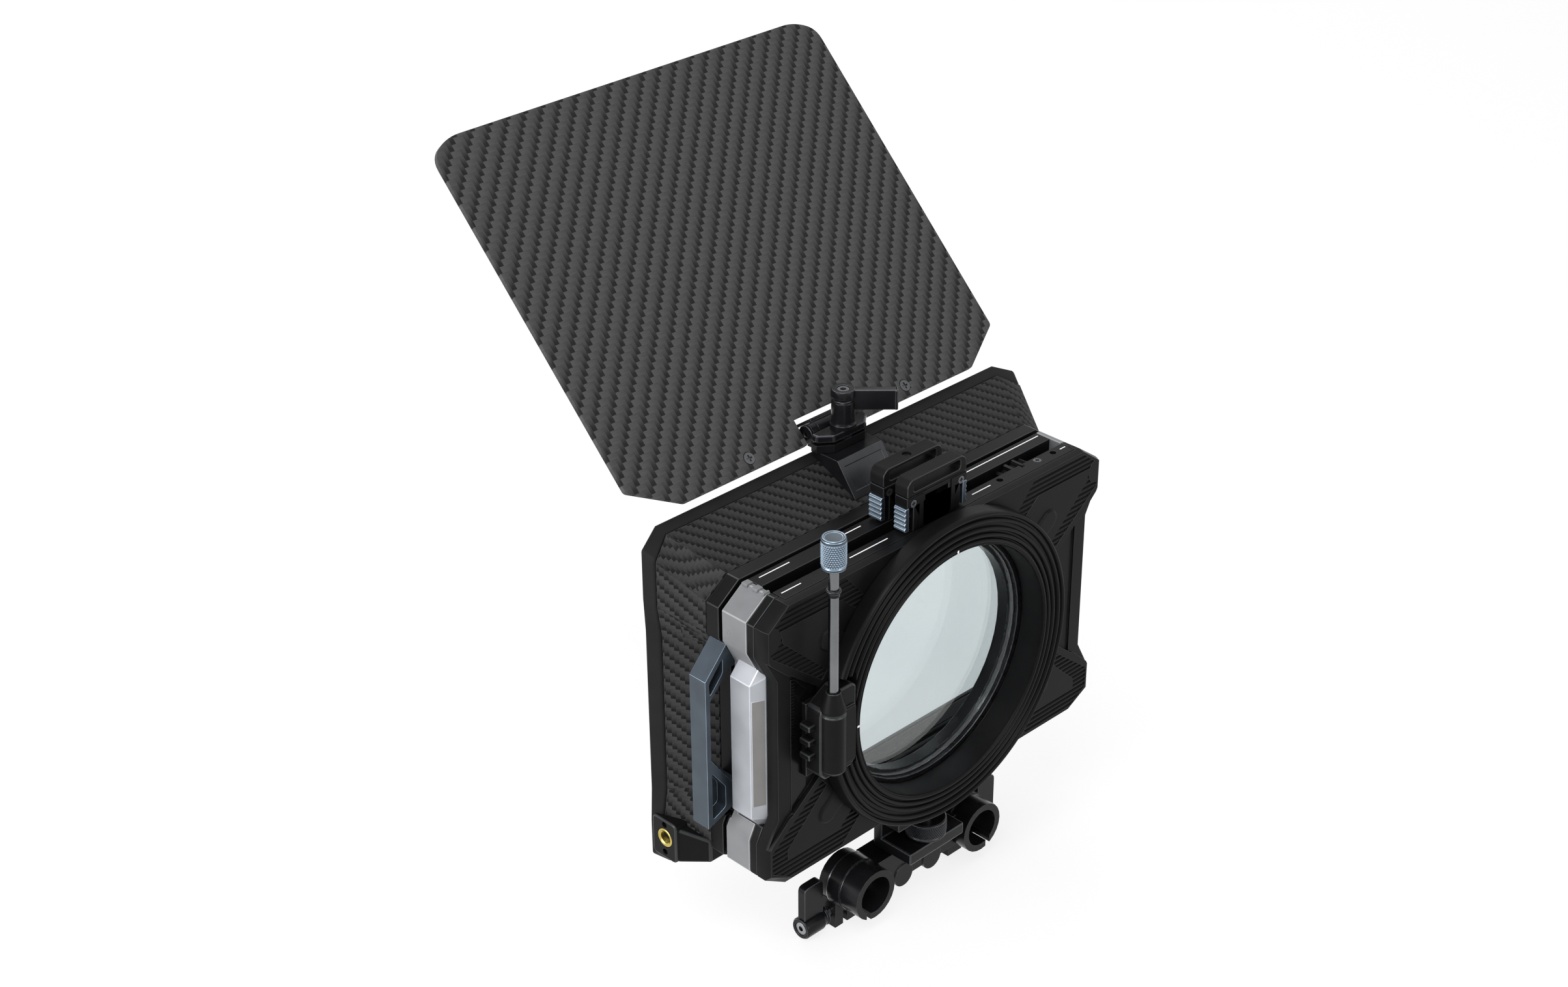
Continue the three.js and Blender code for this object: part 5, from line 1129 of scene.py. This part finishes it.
def dress_grip(name, rear):
    cheek = prism(GRIP_CHEEK, "XZY", rear - GRIP_CHEEK_LIFT, rear + GRIP_CHEEK_SINK)
    well = prism(circle(GRIP_SCREW, GRIP_WELL_RADIUS, steps=32), "XZY", rear - OVERRUN,
                 rear + GRIP_WELL_FLOOR)
    cheek = rounded(carved(cheek, well), "grip_cheek")
    dress(f"{name}_tray_grip", rounded(cad_copy(f"{name}_tray_grip"), "tray_grip"))
    add_trim(f"{name}_grip_cheeks", both_sides(cheek), MOULDED_NYLON, f"{name}_tray_grip")
    x, z = GRIP_SCREW
    heads = screw_heads([(side * x, rear - GRIP_SCREW_LIFT, z) for side in SIGNS], REARWARDS,
                        GRIP_SCREW_RADIUS, GRIP_SCREW_HEIGHT, BLACKENED_STEEL)
    add_trim(f"{name}_grip_screws", heads, BLACKENED_STEEL, f"{name}_tray_grip")


def dress_grips():
    for name, (rear, front) in GRIP_LAYERS.items():
        dress_strap(name, rear, front)
        dress_grip(name, rear)
        for side in ("left", "right"):
            latch = f"{name}_latch_{side}"
            dress(latch, rounded(cad_copy(latch), "latch"))


# Drive housing, its shaft, collar and knob
DRIVE_AXIS = middle("drive_knob", "XY")
DRIVE_BLOCK = [(-70.0, -11.6), (-67.6, -14.2), (-54.6, -14.2), (-52.3, -12.0), (-52.3, 19.0), (-54.0, 20.4),
               (-60.5, 20.4), (-69.0, 15.4), (-70.0, 13.0)]
DRIVE_BLOCK_SPAN = (-7.9, -0.3)
NOSE = [(0.0, -11.3), (3.5, -11.3), (4.7, -9.8), (4.7, 13.3), (4.35, 13.6), (4.35, 14.1), (4.7, 14.4),
        (4.7, 15.6), (2.7, 22.3), (0.0, 22.3)]
DRIVE_PLATE = [(-60.9, -12.2), (-53.0, -12.2), (-53.0, 12.2), (-60.9, 12.2)]
DRIVE_PLATE_SPAN = (-8.35, -7.6)
DRIVE_PLATE_CORNER = 1.5
# The raised panel on the plate, as shares of its width and height
PANEL_SHARES = (0.985, 0.93)
PANEL_SHIFT = -0.9
PANEL_SPAN = (-8.6, -8.1)
PANEL_CORNER = 1.2
DRIVE_RIBS = (8.0, 2.0, -4.0)
DRIVE_RIB_HALF = 1.2
DRIVE_RIB_SPANS = ((-73.0, -69.2), (-5.2, -0.3))
DRIVE_FOOT = {"x": (-69.9, -62.4), "y": (-0.6, 1.7), "z": (-15.3, 15.3)}
COLLAR = [(1.8, 61.0), (2.3, 61.0), (2.4, 61.2), (2.4, 62.3), (2.75, 62.6), (2.8, 63.3), (2.5, 63.7),
          (1.8, 63.7)]
SHAFT_RADIUS = 1.85
SHAFT_SPAN = (21.0, 72.0)
KNOB = [(0.0, 71.8), (3.8, 71.8), (4.35, 72.3), (4.35, 73.2), (4.1, 73.5), (4.1, 82.2), (4.4, 82.5),
        (4.4, 83.6), (4.0, 84.2), (3.6, 84.2), (3.2, 83.8), (0.0, 84.0)]
KNOB_KNURL = {"Radius": 4.08, "Row Height": 0.8, "Size": 0.56, "Depth": 0.42}
KNOB_KNURL_FOOT = 73.95
KNOB_KNURL_COLUMNS = 30
KNOB_KNURL_ROWS = 11


def knurling(centre, sizes, columns, rows, material):
    """A knurled band round an upright axis, from sizes in millimetres. It is coarser than a real one."""
    return grown(KNURL, Centre=in_metres(*centre), Columns=columns, Rows=rows, Material=material,
                 **{name: value * MM for name, value in sizes.items()})


def dress_drive():
    across, up = PANEL_SHARES
    panel = [(a * across + PANEL_SHIFT, b * up) for a, b in DRIVE_PLATE]
    plate = softened(DRIVE_PLATE, DRIVE_PLATE_CORNER)
    parts = [rounded(prism(DRIVE_BLOCK, "XZY", *DRIVE_BLOCK_SPAN), "drive_block"),
             rounded(turned(NOSE, "XYZ", DRIVE_AXIS), "drive_nose"),
             rounded(prism(plate, "XZY", *DRIVE_PLATE_SPAN), "drive_plate"),
             rounded(prism(softened(panel, PANEL_CORNER), "XZY", *PANEL_SPAN), "drive_panel")]
    for height in DRIVE_RIBS:
        rib = block(*DRIVE_RIB_SPANS, (height - DRIVE_RIB_HALF, height + DRIVE_RIB_HALF))
        parts.append(rounded(rib, "drive_rib"))
    parts.append(rounded(block(**DRIVE_FOOT), "drive_foot"))
    dress("drive_housing", joined(*parts))
    shaft = joined(cad_copy("knob_shaft"), rod(SHAFT_RADIUS, "XYZ", DRIVE_AXIS, *SHAFT_SPAN))
    dress("knob_shaft", rounded(shaft, "knob_shaft", paint_edge_highlight=False), GROUND_STEEL)
    collar = turned(COLLAR, "XYZ", DRIVE_AXIS, steps=48)
    dress("knob_collar", rounded(collar, "knob_collar"), BLACK_ANODISED)
    # The knob's knurl is drawn in the pale blue of the painted highlight
    knurl = knurling((*DRIVE_AXIS, KNOB_KNURL_FOOT), KNOB_KNURL, KNOB_KNURL_COLUMNS, KNOB_KNURL_ROWS,
                     BLUE_PAINTED_HIGHLIGHT)
    add_trim("knob_knurl", knurl, BLUE_PAINTED_HIGHLIGHT, "drive_knob")
    dress("drive_knob", rounded(turned(KNOB, "XYZ", DRIVE_AXIS, steps=72), "drive_knob"))


# Accessory boss: a pad on the hood's flare with a gusset behind it, two pin holes and a threaded insert
BOSS_FACE = span("accessory_boss_right", "X")[1]
BOSS_ROOT = 80.0
BOSS_FOOT, BOSS_HEAD = span("accessory_boss_right", "Z")
BOSS_OUTLINE = [(38.9, BOSS_FOOT), (51.5, BOSS_FOOT), (51.5, BOSS_HEAD), (38.9, BOSS_HEAD)]
BOSS_CORNER = 2.2
GUSSET_FRONT = [(96.4, -60.3), (96.4, -45.5), (85.9, -45.5), (85.9, -60.3)]
GUSSET_FRONT_Y = 39.6
GUSSET_REAR = [(88.0, -60.0), (88.0, -50.5), (80.2, -50.5), (80.2, -60.0)]
GUSSET_REAR_Y = 30.4
# The core takes this share of the hood's section. Corners ahead of its front are carried on and flared.
CORE_SHARE = 0.995
CORE_FRONT = 40.0
CORE_REACH = 8.0
CORE_FLARE = 1.03
CORE_DIGITS = 5
PIN_HOLES = [(44.9, -45.6), (44.9, -57.6)]
PIN_HOLE_RADIUS = 1.25
PIN_HOLE_DEPTH = 2.5
INSERT = middle("threaded_insert_right", "YZ")
INSERT_RADIUS = 3.9
INSERT_FOOT = 93.4
INSERT_SEAT = 0.1
INSERT_CHAMFER = 0.3
INSERT_MOUTH = 3.0
THREAD_START = 0.1
THREAD_PITCH = 0.52
THREAD_TURNS = 7
THREAD_ROOT = 2.95
THREAD_CREST = 2.45


def hood_core():
    """Closed core that fills the hood to just inside its outer surface, carried on past its front."""
    bm = bmesh.new()
    vertices = NODES["hood_shell"].data.vertices
    corners = {tuple(round(value, CORE_DIGITS) for value in vertex.co) for vertex in vertices}
    corners |= {(x * CORE_FLARE, y + CORE_REACH * MM, z * CORE_FLARE)
                for x, y, z in corners if y > CORE_FRONT * MM}
    for corner in sorted(corners):
        bm.verts.new(corner)
    hull = bmesh.ops.convex_hull(bm, input=bm.verts)
    spare = {item for item in hull["geom_interior"] + hull["geom_unused"]
             if isinstance(item, bmesh.types.BMVert)}
    bmesh.ops.delete(bm, geom=list(spare))
    bmesh.ops.scale(bm, vec=(CORE_SHARE, 1.0, CORE_SHARE), verts=bm.verts)
    return made(bm)


def threaded_insert(side):
    """The insert's ring: rounded ridges stand for its thread, a little coarser than a real one."""
    profile = [(INSERT_RADIUS, INSERT_FOOT), (INSERT_RADIUS, BOSS_FACE - INSERT_CHAMFER),
               (INSERT_RADIUS - INSERT_CHAMFER, BOSS_FACE), (INSERT_MOUTH, BOSS_FACE)]
    for turn in range(THREAD_TURNS):
        height = BOSS_FACE - THREAD_START - turn * THREAD_PITCH
        profile += [(THREAD_ROOT, height), (THREAD_CREST, height - THREAD_PITCH / 2)]
    profile.append((THREAD_ROOT, INSERT_FOOT))
    return turned([(radius, side * height) for radius, height in profile], "YZX", INSERT, steps=64)


def dress_bosses():
    core = hood_core()
    for name, side in SIDES:
        pad = prism(softened(BOSS_OUTLINE, BOSS_CORNER), "YZX", side * BOSS_ROOT, side * BOSS_FACE)
        gusset = lofted([(flipped(GUSSET_FRONT, side), GUSSET_FRONT_Y),
                         (flipped(GUSSET_REAR, side), GUSSET_REAR_Y)], "XZY")
        mouth = side * (BOSS_FACE + OVERRUN)
        holes = [rod(PIN_HOLE_RADIUS, "YZX", hole, side * (BOSS_FACE - PIN_HOLE_DEPTH), mouth)
                 for hole in PIN_HOLES]
        holes.append(rod(INSERT_RADIUS, "YZX", INSERT, side * (INSERT_FOOT - INSERT_SEAT), mouth))
        pad = carved(carved(rounded(pad, "boss_pad"), *holes), core)
        dress(f"accessory_boss_{name}", joined(pad, carved(rounded(gusset, "boss_gusset"), core)))
        dress(f"threaded_insert_{name}", threaded_insert(side))


# Flag clamp: ramp with a recessed panel and a painted highlight on its faces, plates, and a waisted hub with
# a flat paddle
POST = middle("flag_clamp_post", "XY")
RAMP_PANEL = [(34.55, 62.55), (40.35, 70.25), (39.6, 70.8), (33.8, 63.1)]
RAMP_PANEL_SPAN = (-9.4, 9.4)
# Faces that face the ramp's way, to within this cosine, take the painted highlight of the edges
RAMP_HIGHLIGHT_FACING = Vector((0.0, -0.799, 0.602))
RAMP_COSINE = 0.98
PIN_SOCKET = middle("flag_hinge_pin", "YZ")
PIN_SOCKET_RADIUS = 1.1
PIN_SOCKET_FLOOR = 11.6
PIN_SOCKET_MOUTH = 13.0
POST_FOOT = [(0.0, 80.0), (4.9, 80.0), (4.9, 81.3), (0.0, 81.3)]
HUB = [(2.4, 81.4), (4.9, 81.4), (4.7, 81.6), (4.5, 82.0), (4.4, 82.8), (4.4, 90.1), (4.2, 90.5), (3.6, 90.8),
       (3.45, 91.3), (3.6, 91.8), (4.3, 92.1), (4.6, 92.4), (4.6, 94.7), (4.2, 95.2), (2.4, 95.2)]
# Steps of a turned hub under this angle stay unrounded
HUB_ANGLE = 40
PADDLE = [(3.0, -1.5), (19.2, -1.5), (19.8, -1.0), (19.8, 1.0), (19.2, 1.5), (3.0, 1.5)]
PADDLE_TIP = [(18.6, -1.75), (19.9, -1.75), (19.9, 1.75), (18.6, 1.75)]
PADDLE_SPAN = (87.0, 95.1)
PADDLE_TURN = -math.pi / 4
CAP_SCREW = [(0.0, 93.6), (1.15, 93.6), (1.15, 94.9), (2.2, 94.9), (2.3, 94.7), (2.3, 83.0), (0.0, 83.0)]


def turned_paddle(outline):
    """A part of the lever's paddle, drawn along X and then turned about the post."""
    mesh = prism(outline, "XYZ", *PADDLE_SPAN)
    mesh.transform(Matrix.Translation(in_metres(*POST, 0.0)) @ Matrix.Rotation(PADDLE_TURN, 4, "Z"))
    return mesh


def dress_flag_clamp():
    foot = carved(cad_copy("flag_foot"), prism(RAMP_PANEL, "YZX", *RAMP_PANEL_SPAN))
    foot = rounded(foot, "flag_foot")
    # The ramp's faces take the painted highlight of the edges
    for polygon in foot.polygons:
        if polygon.normal.dot(RAMP_HIGHLIGHT_FACING) > RAMP_COSINE:
            polygon.material_index = 1
    dress("flag_foot", foot, BLACK_ANODISED)
    for node in ("flag_clamp_base", "flag_clamp_plate"):
        dress(node, rounded(cad_copy(node), node))
    sockets = [rod(PIN_SOCKET_RADIUS, "YZX", PIN_SOCKET, side * PIN_SOCKET_FLOOR, side * PIN_SOCKET_MOUTH)
               for side in SIGNS]
    dress("flag_hinge_pin", rounded(carved(cad_copy("flag_hinge_pin"), *sockets), "flag_hinge_pin"))
    dress("flag_clamp_post", turned(POST_FOOT, "XYZ", POST, steps=64))
    hub = rounded(turned(HUB, "XYZ", POST, steps=64), "flag_lever_hub", angle_degrees=HUB_ANGLE)
    paddle = [rounded(turned_paddle(outline), "flag_lever_paddle") for outline in (PADDLE, PADDLE_TIP)]
    dress("flag_clamp_lever", joined(hub, *paddle), BLACK_ANODISED)
    dress("flag_clamp_bolt", turned(CAP_SCREW, "XYZ", POST, steps=48), BLACKENED_STEEL)


# Rod clamps: barrels with two bright ring lines, levers with a socket screw, a knurled thumb nut
ROD_X = middle("rod_clamp_right", "X")[0]
ROD_Z = -91.3
BARREL_LINE = [(10.2, 0.0), (10.36, 0.0), (10.36, 0.5), (10.2, 0.5)]
# Each line's lift over the barrel, and its place along Y
BARREL_LINES = ((0.1, 11.25), (0.7, 17.45))
LEVER_AXIS = middle("clamp_screw_right", "YZ")
LEVER_PADDLE = [(43.5, -103.2), (53.4, -103.2), (53.4, -84.3), (43.5, -84.3)]
LEVER_CORNERS = [0.5, 0.5, 2.4, 2.4]
LEVER_PADDLE_SPAN = (16.9, 20.7)
LEVER_HUB = [(2.2, 41.5), (3.9, 41.5), (4.1, 42.0), (3.5, 42.6), (3.5, 43.6), (4.2, 44.2), (4.5, 45.0),
             (4.5, 53.3), (4.0, 54.0), (2.9, 54.0), (2.9, 53.4), (2.2, 53.4)]
LEVER_SCREW = [(0.0, 52.0), (1.1, 52.0), (1.1, 53.7), (2.4, 53.7), (2.6, 53.5), (2.6, 53.0), (2.0, 53.0),
               (2.0, 26.0), (0.0, 26.0)]
NUT = [(2.7, -78.7), (7.4, -78.7), (7.9, -78.2), (7.9, -77.6), (7.6, -77.3), (7.6, -72.3), (7.9, -72.0),
       (7.9, -71.4), (7.4, -70.9), (2.7, -70.9)]
NUT_AXIS = middle("thumb_nut", "XY")
NUT_KNURL = {"Radius": 7.6, "Row Height": 0.66, "Size": 0.58, "Depth": 0.45}
NUT_KNURL_FOOT = -76.9
NUT_KNURL_COLUMNS = 58
NUT_KNURL_ROWS = 7


def dress_rod_clamp(name, side):
    dress(f"rod_clamp_{name}", rounded(cad_copy(f"rod_clamp_{name}"), "rod_clamp"))
    rings = [turned([(radius + lift, height + y) for radius, height in BARREL_LINE], "XZY",
                    (side * ROD_X, ROD_Z)) for lift, y in BARREL_LINES]
    add_trim(f"barrel_lines_{name}", joined(*rings), TURNED_STEEL, f"rod_clamp_{name}")
    hub = turned([(radius, side * height) for radius, height in LEVER_HUB], "YZX", LEVER_AXIS, steps=48)
    hub = rounded(hub, "rod_lever_hub", angle_degrees=HUB_ANGLE)
    outline = flipped(softened(LEVER_PADDLE, LEVER_CORNERS), side)
    paddle = rounded(prism(outline, "XZY", *LEVER_PADDLE_SPAN), "rod_lever_paddle")
    dress(f"rod_lever_{name}", joined(hub, paddle), BLACK_ANODISED)
    screw = [(radius, side * height) for radius, height in LEVER_SCREW]
    dress(f"clamp_screw_{name}", turned(screw, "YZX", LEVER_AXIS, steps=32))


def dress_bracket():
    for name, side in SIDES:
        dress_rod_clamp(name, side)
    # The nut's knurl is drawn in the paler grey of the painted highlight
    knurl = knurling((*NUT_AXIS, NUT_KNURL_FOOT), NUT_KNURL, NUT_KNURL_COLUMNS, NUT_KNURL_ROWS,
                     BLACK_PAINTED_HIGHLIGHT)
    dress("thumb_nut", rounded(turned(NUT, "XYZ", NUT_AXIS, steps=72), "thumb_nut"), BLACK_ANODISED)
    add_trim("thumb_nut_knurl", knurl, BLACK_PAINTED_HIGHLIGHT, "thumb_nut")
    for node in ("bracket_arm", "clamp_bridge", "bracket_lug"):
        dress(node, rounded(cad_copy(node), "bracket"))


# Hood and its weave, with thin plates that close its rear edge in front of the handles' feet
FLAG_TILT_DEGREES = 44.8
# The weave on the hood's sides: its stretch along and up, and the least slope that it is spread over
SIDE_STRETCH = (0.79, 1.12)
LEAST_SLOPE = 0.5
FLANK_PLATE = [(82.0, 29.0), (87.5, 39.3), (82.0, 39.3)]
FLANK_PLATE_SPAN = (29.85, 30.28)


def lay_weave(mesh, along_flag=False):
    """Lays the weave on each face: across it by X, or by Y on the sides, and along it up the slope."""
    layer = mesh.uv_layers.new(name="weave")
    tilt = math.radians(FLAG_TILT_DEGREES)
    up = Vector((0, math.sin(tilt), math.cos(tilt)))
    for polygon in mesh.polygons:
        normal = polygon.normal
        for loop in polygon.loop_indices:
            point = mesh.vertices[mesh.loops[loop].vertex_index].co
            if along_flag:
                layer.data[loop].uv = (point.x, point.dot(up))
            elif abs(normal.z) > abs(normal.x):
                layer.data[loop].uv = (-point.x, point.y / max(LEAST_SLOPE, abs(normal.z)))
            else:
                layer.data[loop].uv = (point.y / max(LEAST_SLOPE, abs(normal.x)) * SIDE_STRETCH[0],
                                       point.z * SIDE_STRETCH[1])


def dress_hood():
    shell = smoothed(rounded(cad_copy("hood_shell"), "hood_shell"))
    lay_weave(shell)
    new_piece("hood_shell_skin", shell, HOOD_TWILL, "chassis", "carbon_laminate", "hood_shell")
    dress("hood_lip", rounded(cad_copy("hood_lip"), "hood_lip"), DRY_NYLON)
    plates = [prism(flipped(FLANK_PLATE, side, up), "XZY", *FLANK_PLATE_SPAN) for side, up in CORNERS]
    add_trim("flank_plates", joined(*plates), MOULDED_NYLON, "hood_band")


# Top flag: drawn upright, and then leant back about its foot
FLAG_RIGHT = [(14.1, 10.5), (14.1, 0.0), (74.4, 0.0), (94.4, 12.0), (94.4, 148.2), (84.9, 153.2)]
FLAG_CORNERS = [0.5, 0.8, 0.8, 1.2, 5.2, 5.2]
FLAG_ORIGIN = (0.0, span("top_flag", "Y")[0], 75.95)
FLAG_THICKNESS = 2.0
FLAG_SCREW = (40.4, 4.6)
FLAG_SCREW_RADIUS = 2.25
FLAG_SCREW_HEIGHT = 0.9
FLAG_SCREW_DEPTH = 0.45
FLAG_WELL_RADIUS = 2.45
FLAG_WELL_DEPTH = 1.0
LEAF_NOTCH = {"x": (-14.1, 14.1), "y": (1.0, 6.0), "z": (8.7, 13.0)}


def tilted(mesh):
    """Leans a mesh that was drawn upright back by the flag's rest angle, about the flag's foot."""
    lean = Matrix.Rotation(-math.radians(FLAG_TILT_DEGREES), 4, "X")
    mesh.transform(Matrix.Translation(in_metres(*FLAG_ORIGIN)) @ lean)
    return mesh


def dress_flag():
    x, z = FLAG_SCREW
    outline = softened(mirrored_outline(FLAG_RIGHT), FLAG_CORNERS + FLAG_CORNERS[::-1], steps=6)
    wells = [prism(circle((side * x, z), FLAG_WELL_RADIUS, steps=32), "XZY", -OVERRUN, FLAG_WELL_DEPTH)
             for side in SIGNS]
    plate = rounded(carved(prism(outline, "XZY", 0.0, FLAG_THICKNESS), *wells), "top_flag")
    plate = smoothed(tilted(plate))
    lay_weave(plate, along_flag=True)
    new_piece("top_flag_skin", plate, FLAG_TWILL, "flag", "carbon_laminate", "top_flag")
    leaf = carved(cad_copy("flag_leaf"), tilted(block(**LEAF_NOTCH)))
    dress("flag_leaf", rounded(leaf, "flag_leaf"))
    for name, side in SIDES:
        head = screw_heads([(side * x, FLAG_SCREW_DEPTH, z)], REARWARDS, FLAG_SCREW_RADIUS, FLAG_SCREW_HEIGHT,
                           BLACKENED_STEEL)
        dress(f"flag_screw_{name}", tilted(head), BLACKENED_STEEL)


# Nodes whose own shape is right get a rounded copy, and the glasses stay as they are
GLASSES = ("polariser_glass", "front_filter_glass")


def dress_others():
    done = {name for name in NODES if bpy.data.objects.get(f"{name}_skin")}
    for node in sorted(set(NODES) - done):
        if node in GLASSES:
            NODES[node].data.materials.clear()
            NODES[node].data.materials.append(FILTER_GLASS)
        else:
            dress(node, rounded(cad_copy(node), node if node in EDGES else "other"))


make_camera()
make_floor()
make_light()
dress_rear_housing()
dress_port_ring()
dress_window()
for side_name, side_sign in SIDES:
    dress_side(side_name, side_sign)
dress_front_plate()
dress_stage()
dress_trays()
dress_grips()
dress_drive()
dress_hood()
dress_bosses()
dress_flag()
dress_flag_clamp()
dress_bracket()
dress_others()
